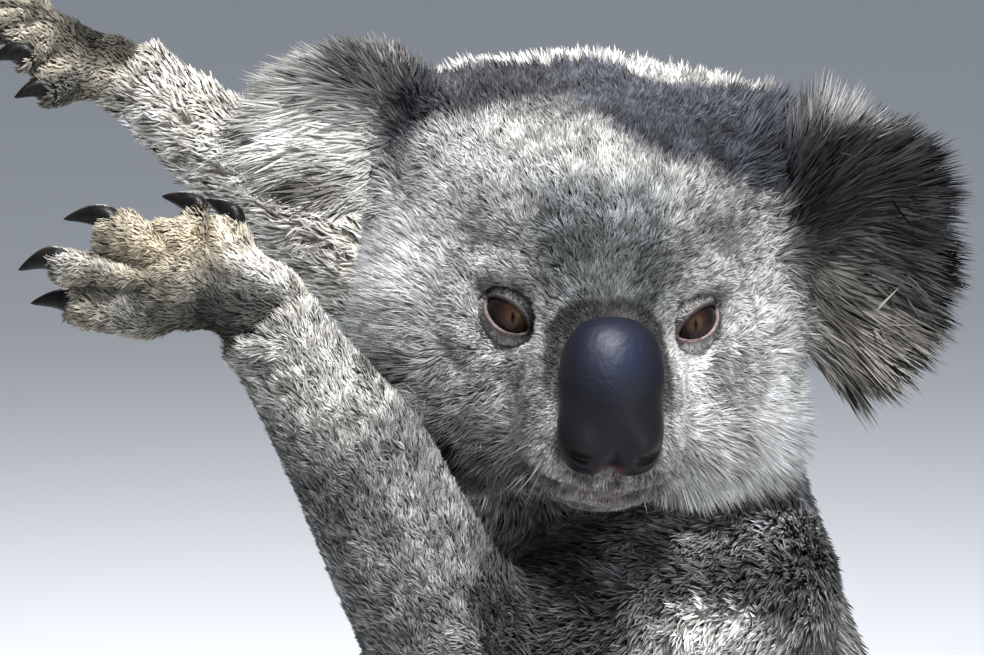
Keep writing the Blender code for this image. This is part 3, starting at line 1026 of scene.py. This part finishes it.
def arm_markings(places, side):
    """Pale and speckled towards the wrist, darker up the arm: real cream fur and painted light from above,
    with a painted shadow of the head across the shoulder.
    """
    x, y, z = places.T
    forearm = step(36, 10, x)
    if side == "right":
        return mixed(body_markings(places), grey(0.62, (1.06, 1.0, 0.90)), forearm)
    # Paler higher up towards the wrist, partly cream fur and partly painted light from above; lower down it
    # is painted shade
    pale = step(282, 325, z - np.maximum(x + 28, 0) * 0.9)
    cuff = blob(places, (-43, -116, 329), (14, 22, 11))
    low = layered(grey(0.21, PLAIN), (grey(0.52, (1.03, 1.0, 0.92)), pale), (grey(0.27, WARM), cuff * 0.85))
    # Painted shadow of the head across the shoulder and upper arm, under the chin
    inner = x + NOISES[0](places, 12.0) * 4 + (z - 250) * 0.25
    fold = step(14, 21, inner) * step(68, 58, inner) * step(282, 262, z) * step(-60, -85, y)
    arm_shadow_grey = 0.025 + 0.04 * step(246, 256, z)
    return layered(body_markings(places), (low, forearm), (grey(arm_shadow_grey, PLAIN), fold * 0.96))


def paw_markings(places, name):
    """Tan digits with dark patches."""
    base = grey(0.38, (1.1, 1.0, 0.8))
    if name == "hand_left":
        return layered(base, *mark_layers(places, HAND_MARKS))
    return mixed(base, grey(0.08, PLAIN), step(0.1, 0.6, NOISES[2](places + 31, 16.0)) * 0.8)


def ear_markings(places, side, head):
    """Colour of the ears' coat: white and grey fringes round dark dishes; the left ear's dark dish is
    painted shade and its pale top edge partly painted rim light.
    """
    own = np.stack(ear_own(places, side, head), axis=1) * (1, 1, 0.2)
    if side == "right":
        return layered(grey(0.50, WARM), *mark_layers(own, EAR_MARKS))
    outward, upward, _ = own.T
    low = step(4, -30, upward + outward * 0.3)
    pale = step(0.1, 0.5, NOISES[2](own * (1, 1, 0.3), 9.0)) * low
    streaks = step(0.2, 0.7, NOISES[1](own * (1, 3, 1), 20.0))
    # The left ear's dark dish is painted shade
    return layered(
        grey(0.028, (1.0, 1.0, 1.05)),
        (grey(0.10, (1.08, 1.0, 0.88)), low * 0.85),
        (grey(0.24, (1.05, 1.0, 0.88)), pale * 0.7),
        (grey(0.12, (1.08, 1.0, 0.9)), streaks * step(0, 16, outward) * 0.6),
        # pale top edge: pale hair with painted rim light
        (grey(0.30, (1, 1, 1)), inner_top(places, side, head) * step(20, 32, upward) * 0.7),
        (grey(0.5, (1, 1, 1)), step(24, 34, upward) * step(8, -8, outward) * 0.8),
    )


def markings(places, weights, head):
    """The coat's colour at each place, blended where regions meet: skin and tufts both take it."""
    colours = np.zeros((len(places), 3))
    for k, name in enumerate(REGIONS):
        near = weights[:, k] > 0.002
        some = places[near]
        kind, _, side = name.partition("_")
        if kind == "head":
            own = head_markings(head.inwards(some))
        elif kind == "ear":
            own = ear_markings(some, side, head)
        elif kind == "arm":
            own = arm_markings(some, side)
        elif kind in ("hand", "foot"):
            own = paw_markings(some, name)
        else:
            own = body_markings(some)
        colours[near] += own * weights[near, k : k + 1]
    mottle = sum(NOISES[k](places, size) * strength for k, size, strength in MOTTLE)
    return np.clip(colours * np.exp(mottle)[:, None] * 0.93, *COAT_RANGE)


# ---- coat ----


def bareness(skin, head, eyes):
    """How long tufts may be at each vertex, from 0 on lids, nose and lips to 1 in open coat."""
    places = skin.places
    own = head.inwards(places)
    free = np.ones(len(places))
    for eye in eyes.values():
        local, outside = eye.around(places)
        free = np.minimum(free, np.where(local[:, 2] > -4, 0.22 + 0.78 * step(1.5, 10.0, outside), 1))
    away = np.linalg.norm((own - NOSE_PLACE) / (15.5, 24, 24), axis=1)
    free = np.minimum(free, 0.25 + 0.75 * step(0.95, 2.2, away))
    free = np.minimum(free, 1 - 0.92 * blob(own, (0, -66, -55), (21, 17, 10)))
    return np.where(of_kind(skin.regions, "head"), free, 1.0)


def covered(skin, eyes):
    """Vertices that no tuft may grow from: the sunk sockets, and the lids' margins."""
    hidden = np.zeros(len(skin.places), bool)
    for eye in eyes.values():
        own, outside = eye.around(skin.places)
        on_ball = (outside < 6.5) & (np.linalg.norm(own, axis=1) < EYE_RADIUS + 0.2)
        hidden |= ((outside < 0.9) | on_ball) & (own[:, 2] > eye.BACK)
    return hidden


LID_SHADE = {"left": (0.55, 0.10), "right": (0.88, 0.12)}  # how dark the fur of the upper and lower lids is


def dark_lids(skin, eyes):
    """How much darker the fur is round the eyes, most on the upper lids' edges."""
    dim = np.zeros(len(skin.places))
    for side, eye in eyes.items():
        own, outside = eye.around(skin.places)
        upper = step(-1.0, 1.5, own[:, 1])
        share = (1 - step(1.8, 4.6, outside)) * (own[:, 2] > eye.BACK)
        above, below = LID_SHADE[side]
        dim = np.maximum(dim, share * (above * upper + below * (1 - upper)))
    return dim * of_kind(skin.regions, "head")


def coat_traits(skin, head):
    """Each trait of the coat at each skin vertex, smoothed where regions meet."""
    regions, places = skin.regions, skin.places
    traits = {trait: by_region(regions, trait) for trait in TRAITS if trait != "depth"}
    head_traits(traits, head.inwards(places), of_kind(regions, "head"))
    x, y, z = places.T
    throat = step(205, 235, z) * step(40, -10, y) * of_kind(regions, "trunk", "arm_left")
    forearm = step(40, 10, x) * of_kind(regions, "arm_left")
    for share, values in (
        (throat, {"density": 1.2, "width": 0.85, "length": 8.5}),
        (forearm, {"density": 2.9, "width": 0.54, "length": 4.6}),
    ):
        for trait, value in values.items():
            traits[trait] = traits[trait] * (1 - share) + value * share
    for share, changes in (
        (of_kind(regions, "arm_right"), {"density": 0.3, "width": -0.35, "length": -2.5}),
        (of_kind(regions, "hand_left"), {"density": 2.6, "width": -0.12}),
        (blob(places, (-46, -114, 333), (20, 24, 18)), {"length": 2.5, "lift": 6}),
    ):
        for trait, change in changes.items():
            traits[trait] += share * change
    count = len(skin.near.degree)
    for values in traits.values():
        values[:count] = skin.near.smooth(values[:count], 14)
    for side in SIDES:
        fringe(skin, traits, side, head)
    return traits


def head_traits(traits, own, on_head):
    """Changes the traits on the head: fine down in front, and long fur at its edges."""
    x, y, z = own.T
    back = step(-30, 45, y)
    left = x > 0
    for trait, front, change in (("density", 4.6, -3.7), ("length", 4.8, 5.0), ("width", 0.50, 0.80)):
        traits[trait] = np.where(on_head, front + change * back, traits[trait])
    jowls = step(-25, -50, z) * step(8, 30, np.abs(x))
    crown = step(12, 24, y) * step(58, 42, y) * step(42, 52, z)
    cheek_edge = step(38, 55, np.abs(x)) * np.where(left, step(2, -18, z), step(24, 0, z))
    for share, longer, lifted in (
        (jowls, 5.0 + 6.5 * left, 14),
        (blob(own, *EAR_BRIDGE), 14, 12),
        (crown, 3.5, 20),
        (cheek_edge, np.where(left, 4.0, 8.0), np.where(left, 9, 13)),
    ):
        traits["length"] += share * on_head * longer
        traits["lift"] += share * on_head * lifted


def fringe(skin, traits, side, head):
    """Lengthens the ear's fur towards its free edge."""
    chosen = of_kind(skin.regions, "ear_" + side)
    ear, places = EARS[side], skin.places[chosen]
    outward, upward, _ = ear_own(places, side, head, "root")
    span = np.hypot(outward, upward)
    rise = unit(np.stack([outward, upward], axis=1))[:, 1]
    length = 10 + (ear["longest"] - 10) * step(0.3, 0.9, span / span.max())
    length *= 1 + (ear["crest"] - 1) * step(0.45, 0.85, rise)
    inner = inner_top(places, side, head) * (side == "left")
    traits["length"][chosen] = length * (1 - inner) + 24 * inner
    traits["lift"][chosen] += 14 * inner


def prepare_coat(skin, head, eyes, lines):
    """Everything that tufts read from the skin, at each vertex."""
    count = len(skin.near.degree)
    skin.traits = coat_traits(skin, head)
    skin.free = bareness(skin, head, eyes)
    skin.dim = dark_lids(skin, eyes)
    density = skin.traits["density"] * ~covered(skin, eyes)
    skin.density = density * (1 + 0.9 * step(1.0, 0.2, skin.free))
    ways = lie_of_hair(skin, head, lines)
    ways[:count] = skin.near.smooth(unit(ways[:count]), 16)
    for eye in eyes.values():
        own, outside = eye.around(skin.places)
        near = (1 - step(2.0, 9.0, outside)) * (own[:, 2] > -6)
        radial = unit(own[:, :1] * eye.out + own[:, 1:2] * eye.over)
        ways = mixed(unit(ways), radial, near * 0.85)
    skin.ways = laid_flat(unit(ways), skin.normals)


def scatter(skin, random):
    """Even random roots on the skin: the corners of each root's triangle, and its share of each."""
    triangles = split_quads(skin.quads)
    area = np.linalg.norm(face_normals(skin.places, triangles), axis=1) / 2
    wanted = np.cumsum(area * skin.density[triangles].mean(axis=1))
    count = int(wanted[-1])
    marks = (np.arange(count) + random.uniform(0, 1, count)) * (wanted[-1] / count)
    face = np.minimum(np.searchsorted(wanted, marks), len(triangles) - 1)
    first, second = random.uniform(0, 1, (2, count))
    fold = first + second > 1
    first[fold], second[fold] = 1 - first[fold], 1 - second[fold]
    shares = np.stack([1 - first - second, first, second], axis=1)
    return triangles[face], shares


def at_roots(values, corners, shares):
    """Vertex values carried to the roots."""
    picked = values[corners]
    if picked.ndim == 2:
        return (picked * shares).sum(axis=1)
    return (picked * shares[..., None]).sum(axis=1)


def laid_flat(ways, normals):
    """Directions turned into the skin's plane."""
    return unit(ways - normals * (ways * normals).sum(axis=1, keepdims=True))


def swung(ways, normals, angles):
    """Directions in the skin's plane, turned round its normal."""
    sideways = np.cross(normals, ways)
    return ways * np.cos(angles)[:, None] + sideways * np.sin(angles)[:, None]


def gathered(tips, roots, strength, random, crowd=9):
    """Draws tips together into locks, each round the tip of one tuft in a crowd."""
    count = len(roots)
    leaders = np.sort(random.choice(count, count // crowd, replace=False))
    tree = KDTree(len(leaders))
    for k, place in enumerate(roots[leaders].tolist()):
        tree.insert(place, k)
    tree.balance()
    nearest = leaders[[tree.find(place)[1] for place in roots.tolist()]]
    pull = tips[nearest] - roots[nearest] + (roots[nearest] - roots) * 0.75
    return roots + mixed(tips - roots, pull, strength)


TUFT_CORNERS = 4
TUFT_FACES = np.array(((0, 2, 1), (3, 1, 2), (0, 1, 3), (0, 3, 2)))
TUFT_WAIST = 0.5  # where a tuft is widest, as a share of its length
TUFT_ROUND = 0.5  # how far its shading turns from the skin's at both sides of its waist


def tuft_shapes(roots, normals, ways, traits, random):
    """Each tuft's buried root, both sides of its arched waist and its tip, and their soft normals."""
    count = len(roots)
    lift = traits["lift"][:, None]
    tips = roots + (ways * np.cos(lift) + normals * np.sin(lift)) * traits["length"][:, None]
    tips = gathered(tips, roots, traits["gather"] * random.uniform(0.4, 1.0, count), random)
    along = unit(tips - roots)
    side = unit(np.cross(along, normals))
    over = np.cross(side, along)
    half = traits["width"][:, None] / 2
    roll, shift = (random.normal(0, 0.5, count)[:, None] for _ in range(2))
    spoke = (side * np.cos(roll) + over * np.sin(roll)) * half
    waist = roots + (tips - roots) * TUFT_WAIST + (over * 0.6 + side * shift) * half
    places = np.stack([roots - normals * 0.5, waist - spoke, waist + spoke, tips], axis=1)
    places[..., 2] = np.maximum(places[..., 2], 0.25)
    round_off = unit(spoke) * TUFT_ROUND
    soft = unit(np.stack([normals, normals - round_off, normals + round_off, normals], axis=1))
    return places, soft


def tuft_colours(base, speckle, random):
    """Root, waist and tip colour of each tuft: dim below, with tips banded light and dark."""
    count = len(base)
    draw = random.uniform(0, 1, count)
    light = (draw < 0.36) * random.uniform(0.25, 0.8, count) * speckle
    dark = (draw > 0.74) * random.uniform(0.4, 0.8, count) * speckle
    pale = np.clip(base * 2.4 + 0.03, 0, 0.88)
    colours = np.empty((count, TUFT_CORNERS, 3))
    colours[:, 0] = base * 0.4 * np.array((1.0, 0.95, 0.88))
    colours[:, 1:3] = (base * random.uniform(0.65, 1.1, count)[:, None])[:, None]
    colours[:, 1:3] *= (1 - 0.5 * dark)[:, None, None]
    tips = base * random.uniform(0.8, 1.25, count)[:, None]
    colours[:, 3] = mixed(tips, pale, light) * (1 - dark)[:, None]
    return colours


def uv_of(name, places, normals, head, lines):
    """An unwrap of a region, in mm: round the head or trunk, along a limb, both faces of an ear."""
    kind, _, side = name.partition("_")
    if kind == "head":
        own = head.inwards(places) - np.array((0, 0, -5))
        size = np.linalg.norm(own, axis=1)
        flat = np.arctan2(own[:, 0], -own[:, 1]) * 60, np.arcsin(own[:, 2] / size) * 60
    elif kind == "ear":
        outward, upward, _ = ear_own(places, side, head)
        behind = (normals @ ear_axes(side, head)[2] < 0) * 110.0
        flat = outward + behind, upward
    elif kind == "trunk":
        away = places - box_middle("trunk")
        flat = np.arctan2(away[:, 1], -away[:, 0]) * 90, away[:, 2]
    else:
        way, reach, foot = along_line(places, lines[f"{LIMB_OF[kind]}_{side}"])
        away = places - foot
        sideways = unit(np.cross(way, (0, 0, 1.0)))
        above = np.cross(sideways, way)
        flat = np.arctan2((away * sideways).sum(axis=1), (away * above).sum(axis=1)) * 30, reach
    return np.stack(flat, axis=1)


UV_PATCH = 0.003
UV_SPOTS = np.array(((0, -0.5), (-0.5, 0), (0.5, 0), (0, 0.5))) * UV_PATCH


def bake_map(obj, flat, faces):
    """The OFBake map: each tuft a small patch at its root's place on the unwrap."""
    low, high = flat.min(axis=0), flat.max(axis=0)
    centre = 0.01 + 0.98 * (flat - low) / (high - low)
    spots = (centre[:, None] + UV_SPOTS).reshape(-1, 2)
    layer = obj.data.uv_layers.new(name="OFBake")
    layer.data.foreach_set("uv", spots[faces.ravel()].astype(np.float32).ravel())


def coat_parts(roots, regions, head):
    """Which tufts go in which piece, each piece under 50,000 tufts."""
    own = head.inwards(roots)
    away = roots[:, 1] - box_middle("trunk")[1]
    on_head = of_kind(regions, "head")
    for side, sign in SIDES.items():
        half = on_head & (own[:, 0] * sign >= 0)
        yield "coat_face_" + side, half & (own[:, 1] < -32)
        yield "coat_temple_" + side, half & (own[:, 1] >= -32) & (own[:, 1] < 0)
        yield "coat_nape_" + side, half & (own[:, 1] >= 0)
        yield "coat_flank_" + side, of_kind(regions, "trunk") & (away * sign < 0)
        yield "coat_ear_" + side, of_kind(regions, "ear_" + side)
        arm = of_kind(regions, "arm_" + side)
        yield "coat_forearm_" + side, arm & (roots[:, 0] < 20)
        yield "coat_upper_arm_" + side, arm & (roots[:, 0] >= 20)
        yield "coat_hand_" + side, of_kind(regions, "hand_" + side)
        yield "coat_leg_" + side, of_kind(regions, "leg_" + side, "foot_" + side)


WHISKER_SHARE = 0.02  # of the tufts on the pads


def whisker_pads(own):
    """Where whiskers grow, beside the mouth, in the head's frame."""
    return blob(own, (20, -50, -47), (9, 16, 7)) + 0.6 * blob(own, (-20, -50, -46), (9, 16, 7))


def grow_tufts(skin, head):
    """All tufts of the coat at once: roots, their normals and regions, traits, ways and colours."""
    random = np.random.default_rng(SEED)
    corners, shares = scatter(skin, random)

    def carried(values):
        return at_roots(values, corners, shares)

    count = len(corners)
    roots, normals, free = carried(skin.places), unit(carried(skin.normals)), carried(skin.free)
    regions = skin.regions[corners[:, 0]]
    traits = {trait: carried(values) for trait, values in skin.traits.items()}
    traits["length"] *= (0.25 + 0.75 * free) * random.uniform(0.72, 1.2, count)
    traits["width"] *= (0.55 + 0.45 * free) * random.uniform(0.75, 1.25, count)
    traits["lift"] = np.radians(traits["lift"] * (0.55 + 0.45 * free) + random.normal(0, 5, count))
    stray = NOISES[0](roots, 8.0) * 0.6 + NOISES[1](roots, 2.8) * 0.9 + random.normal(0, 0.3, count)
    stray = stray * (1 - 0.6 * step(8, 16, traits["length"])) * free
    ways = swung(laid_flat(carried(skin.ways), normals), normals, stray)
    base = markings(roots, carried(skin.weights), head)
    # Painted shade, over darker fur, in the furrows between the digits
    base *= 1 - 0.85 * carried(skin.furrow)[:, None]
    base *= 1 - carried(skin.dim)[:, None]
    pads = whisker_pads(head.inwards(roots)) * of_kind(regions, "head")
    whiskers = random.uniform(0, 1, count) < WHISKER_SHARE * pads
    base[whiskers] = 0.7
    traits["length"][whiskers] = random.uniform(12, 19, whiskers.sum())
    for trait, value in (("width", 0.28), ("lift", math.radians(32)), ("gather", 0)):
        traits[trait][whiskers] = value
    places, soft = tuft_shapes(roots, normals, ways, traits, random)
    speckle = np.where(of_kind(regions, "hand", "foot", "ear"), 0.5, 1.0)
    colours = tuft_colours(base, speckle, random)
    return roots, normals, regions, places, soft, colours


def make_coat(skin, head, lines):
    """All tufts, made together so that neighbouring pieces match, then parted into pieces."""
    roots, normals, regions, places, soft, colours = grow_tufts(skin, head)
    for name, chosen in coat_parts(roots, regions, head):
        some = np.flatnonzero(chosen)
        faces = (TUFT_FACES[None] + np.arange(len(some))[:, None, None] * TUFT_CORNERS).reshape(-1, 3)
        piece = mesh_object(name, places[some].reshape(-1, 3), faces, soft[some].reshape(-1, 3))
        paint(piece, "coat", colours[some].reshape(-1, 3))
        region = REGIONS[np.bincount(regions[some]).argmax()]
        bake_map(piece, uv_of(region, roots[some], normals[some], head, lines), faces)
        yield piece


# ---- claws ----


CLAW_ROWS, CLAW_AROUND = 14, 20
CLAW_RADIUS = 4.5
CLAW_BOW = 2.8  # how far its middle arches over the line from base to point


def claw_shape(node, paw):
    """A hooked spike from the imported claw's base to its point: places and quads."""
    places, _ = node_mesh(node)
    middle = places.mean(axis=0)
    along = np.linalg.svd(places - middle)[2][0]
    along *= np.sign((middle - box_middle(paw)) @ along)
    reach = (places - middle) @ along
    base, length = middle + along * reach.min(), reach.max() - reach.min()
    side = unit(np.cross(along, (0, 0, 1.0)))
    over = np.cross(side, along)
    share = np.linspace(0, 1, CLAW_ROWS)[:, None]
    spine = base + along * length * share + over * CLAW_BOW * np.sin(math.pi * share**0.8)
    radius = CLAW_RADIUS * (1 - share**1.3) ** 0.75 + 0.02
    turn = all_round(CLAW_AROUND)[:, None]
    rings = spine[:, None] + radius[:, None] * (0.72 * np.cos(turn) * side + np.sin(turn) * over)
    return rings.reshape(-1, 3), ring_quads(CLAW_ROWS, CLAW_AROUND)


def make_claws(frame):
    """Every claw as its own piece, in the place of its node."""
    horn = claw_material()
    for name, node in frame["nodes"].items():
        if name.startswith("claw_"):
            paw = name.removeprefix("claw_").rpartition("_")[0]
            claw = mesh_object("horn" + name.removeprefix("claw"), *claw_shape(node, paw))
            attach(claw, horn, [name])


# ---- materials ----


def new_material(name, roughness, specular=0.5, colour=(0.5, 0.5, 0.5)):
    """A plain material, with its nodes' tree and its shader."""
    material = bpy.data.materials.new(name)
    material.use_nodes = True
    shader = material.node_tree.nodes["Principled BSDF"]
    shader.inputs["Base Color"].default_value = (*colour, 1)
    shader.inputs["Roughness"].default_value = roughness
    shader.inputs["Specular IOR Level"].default_value = specular
    return material, material.node_tree, shader


def add_node(tree, kind, **inputs):
    """A node of a kind with some inputs set; an underscore stands for a space in an input's name."""
    node = tree.nodes.new("ShaderNode" + kind)
    for name, value in inputs.items():
        node.inputs[name.replace("_", " ")].default_value = value
    return node


def painted_material(name, layer, roughness, specular):
    """A material that takes its colour from a piece's painted points."""
    material, tree, shader = new_material(name, roughness, specular)
    colour = add_node(tree, "Attribute")
    colour.attribute_type = "GEOMETRY"
    colour.attribute_name = layer
    tree.links.new(colour.outputs["Color"], shader.inputs["Base Color"])
    return material, tree, shader


def noise_node(tree, scale, detail):
    """Noise of a size, with its coordinates from the object's own space."""
    noise = add_node(tree, "TexNoise", Scale=scale, Detail=detail)
    tree.links.new(add_node(tree, "TexCoord").outputs["Object"], noise.inputs["Vector"])
    return noise.outputs["Fac"]


def bump_from(tree, shader, height, distance, strength=1.0):
    bump = add_node(tree, "Bump", Distance=distance, Strength=strength)
    tree.links.new(height, bump.inputs["Height"])
    tree.links.new(bump.outputs["Normal"], shader.inputs["Normal"])


def skin_material():
    """The skin under the coat: its markings, speckled and rough as short down."""
    material, tree, shader = painted_material("koala_skin", "skin", 0.85, 0.3)
    colour = shader.inputs["Base Color"].links[0].from_socket
    fleck = noise_node(tree, 900.0, 3.0)
    tone = add_node(tree, "MapRange", From_Min=0.3, From_Max=0.7, To_Min=0.6, To_Max=1.25)
    tree.links.new(fleck, tone.inputs["Value"])
    product = add_node(tree, "VectorMath")
    product.operation = "MULTIPLY"
    tree.links.new(colour, product.inputs[0])
    tree.links.new(tone.outputs["Result"], product.inputs[1])
    tree.links.new(product.outputs["Vector"], shader.inputs["Base Color"])
    bump_from(tree, shader, fleck, 0.0006)
    return material


def nose_material():
    """Pebbled black leather with a soft damp gloss."""
    material, tree, shader = painted_material("nose_leather", "nose", 0.39, 0.13)
    bump_from(tree, shader, noise_node(tree, 2600.0, 2.0), 0.0002, 0.3)
    return material


def claw_material():
    """Dark horn, paler and scuffed along its length."""
    material, tree, shader = new_material("horn", 0.38, 0.16)
    grain = noise_node(tree, 420.0, 4.0)
    ramp = add_node(tree, "ValToRGB")
    dark, pale = ramp.color_ramp.elements
    dark.color, pale.color = (0.003, 0.003, 0.003, 1), (0.012, 0.010, 0.009, 1)
    dark.position, pale.position = 0.4, 0.75
    tree.links.new(grain, ramp.inputs["Fac"])
    tree.links.new(ramp.outputs["Color"], shader.inputs["Base Color"])
    bump_from(tree, shader, grain, 0.0003)
    return material


# Colours of each eye's lids: upper and lower lid, wet rim and inner corner
LID_TINTS = {
    "left": ((0.08, 0.055, 0.055), (0.20, 0.14, 0.14), (0.42, 0.34, 0.34), (0.16, 0.10, 0.11)),
    "right": ((0.020, 0.014, 0.015), (0.15, 0.11, 0.105), (0.30, 0.23, 0.23), (0.026, 0.015, 0.018)),
}


def skin_colours(skin, head, eyes):
    """The markings, a little darker than the coat, with bare lids, lips and the nose's surround."""
    places = skin.places
    own = head.inwards(places)
    on_head = of_kind(skin.regions, "head")
    lips = blob(own, (0, -66, -53), (19, 16, 7)) * on_head
    colours = layered(
        markings(places, skin.weights, head) * 0.62,
        ((0.19, 0.135, 0.13), lips * 0.9),
        ((0.03, 0.015, 0.015), mouth_line(own) * on_head * 0.95),
        ((0.13, 0.06, 0.055), blob(own, (0, -72, -48), (6, 14, 3)) * on_head),
        # painted shade, over darker skin, in the furrows between the digits
        ((0.02, 0.015, 0.012), skin.furrow * 0.8),
    )
    for side, eye in eyes.items():
        local, outside = eye.around(places)
        along, across, forward = local.T
        near = (forward > eye.BACK) & on_head
        upper_tint, lower_tint, rim_tint, corner_tint = LID_TINTS[side]
        upper = step(-1.0, 1.5, across)
        wet = (1 - step(0.08, 0.34, np.abs(outside - 0.3))) * near * step(0.5, -1.5, across)
        colours = layered(
            colours,
            (mixed(lower_tint, upper_tint, upper), (1 - step(1.0, 2.4, outside)) * near),
            (rim_tint, wet * 0.8),
            ((0.010, 0.007, 0.007), (1 - step(0.6, 1.3, outside)) * near * upper),
            (corner_tint, spot(along, across, (-8.8, 0.8), (3.0, 3.6)) * near * 0.9),
            ((0.02, 0.015, 0.015), spot(along, across, (9.6, -0.2), (2.4, 1.2)) * near * 0.9),
        )
    return np.clip(colours, 0.003, 0.9)


# ---- stage ----


FLOOR = ((-3000, -3000, 0), (3000, -3000, 0), (3000, 6000, 0), (-3000, 6000, 0))

# Each lamp's name, place, aim, power in watts and width
LAMPS = (
    ("key", (180, -640, 1500), (40, -60, 320), 44, 380),
    ("back", (-150, 900, 1300), (0, 0, 330), 20, 500),
    ("fill", (900, -1100, 500), (40, -60, 300), 4, 900),
)


def make_stage():
    """The floor, the sky's light and the lamps."""
    floor = mesh_object("floor", FLOOR, ((0, 1, 2, 3),))
    floor.data.materials.append(new_material("pale_floor", 0.7, colour=(0.62, 0.64, 0.66))[0])
    world = bpy.data.worlds.new("studio")
    world.use_nodes = True
    sky = world.node_tree.nodes["Background"]
    sky.inputs["Color"].default_value = (0.80, 0.86, 0.95, 1)
    sky.inputs["Strength"].default_value = 0.40
    bpy.context.scene.world = world
    for lamp in LAMPS:
        add_light(*lamp)


def add_light(name, place, target, power, width):
    light = bpy.data.lights.new(name, "AREA")
    light.shape = "DISK"
    light.energy = power
    light.size = width * MM
    set_up(light, place, Vector(target) - Vector(place))


def set_up(data, place, way):
    """A lamp or camera at a place in mm, looking along a way."""
    obj = bpy.data.objects.new(data.name, data)
    obj.location = Vector(place) * MM
    obj.rotation_euler = Vector(way).to_track_quat("-Z", "Y").to_euler()
    bpy.context.scene.collection.objects.link(obj)
    return obj


CAMERA_TILT = math.radians(8)  # down
CAMERA_DISTANCE = 1600
SENSOR_WIDTH = 36
FRAME_WIDTH = 295.2  # of what the camera sees at the face
FACE_MIDDLE = (55.0, -95.0, 335.0)  # a point in front of the face, between the eyes
AIM_SHIFT = (-33.15, -3.3)  # from there to the frame's middle, across and up


def make_camera():
    """A view level with the face and a little from above."""
    bpy.context.scene.view_settings.view_transform = "Standard"
    view = np.array((0, math.cos(CAMERA_TILT), -math.sin(CAMERA_TILT)))
    up = np.array((0, math.sin(CAMERA_TILT), math.cos(CAMERA_TILT)))
    aim = np.array(FACE_MIDDLE) + np.array((1.0, 0, 0)) * AIM_SHIFT[0] + up * AIM_SHIFT[1]
    camera = bpy.data.cameras.new("camera")
    camera.sensor_width = SENSOR_WIDTH
    camera.lens = SENSOR_WIDTH * CAMERA_DISTANCE / FRAME_WIDTH
    camera.clip_end = 20
    bpy.context.scene.camera = set_up(camera, (aim - view * CAMERA_DISTANCE).tolist(), view.tolist())


# ---- assembly ----


def attach(piece, material, nodes=()):
    """Puts a piece on the body with its finish, in the place of the nodes it stands for."""
    piece.data.materials.append(material)
    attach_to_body(piece, "root")
    if nodes:
        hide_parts(*nodes)


def main():
    for obj in list(bpy.data.objects):
        bpy.data.objects.remove(obj)
    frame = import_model()
    head = HeadFrame()
    lines = {
        f"{limb}_{side}": limb_line(frame, [f"{node}_{side}" for node in nodes])
        for limb, nodes in LIMBS.items()
        for side in SIDES
    }
    eyes = {side: EyeFrame(side, head) for side in SIDES}
    skin = make_skin(frame, head, eyes)
    prepare_coat(skin, head, eyes, lines)
    skin_piece = mesh_object("skin", skin.places, skin.quads)
    paint(skin_piece, "skin", skin_colours(skin, head, eyes))
    flesh = [name for name in frame["nodes"] if is_flesh(name)]
    attach(skin_piece, skin_material(), flesh)
    fur, _, _ = painted_material("koala_coat", "coat", 0.9, 0.12)
    for piece in make_coat(skin, head, lines):
        attach(piece, fur)
    wet, _, _ = painted_material("wet_eye", "eye", 0.10, 0.13)
    for side, eye in eyes.items():
        attach(eyeball(side, eye), wet, ["eye_" + side])
    attach(nose_piece(head), nose_material(), ["nose"])
    make_claws(frame)
    make_stage()
    make_camera()


main()
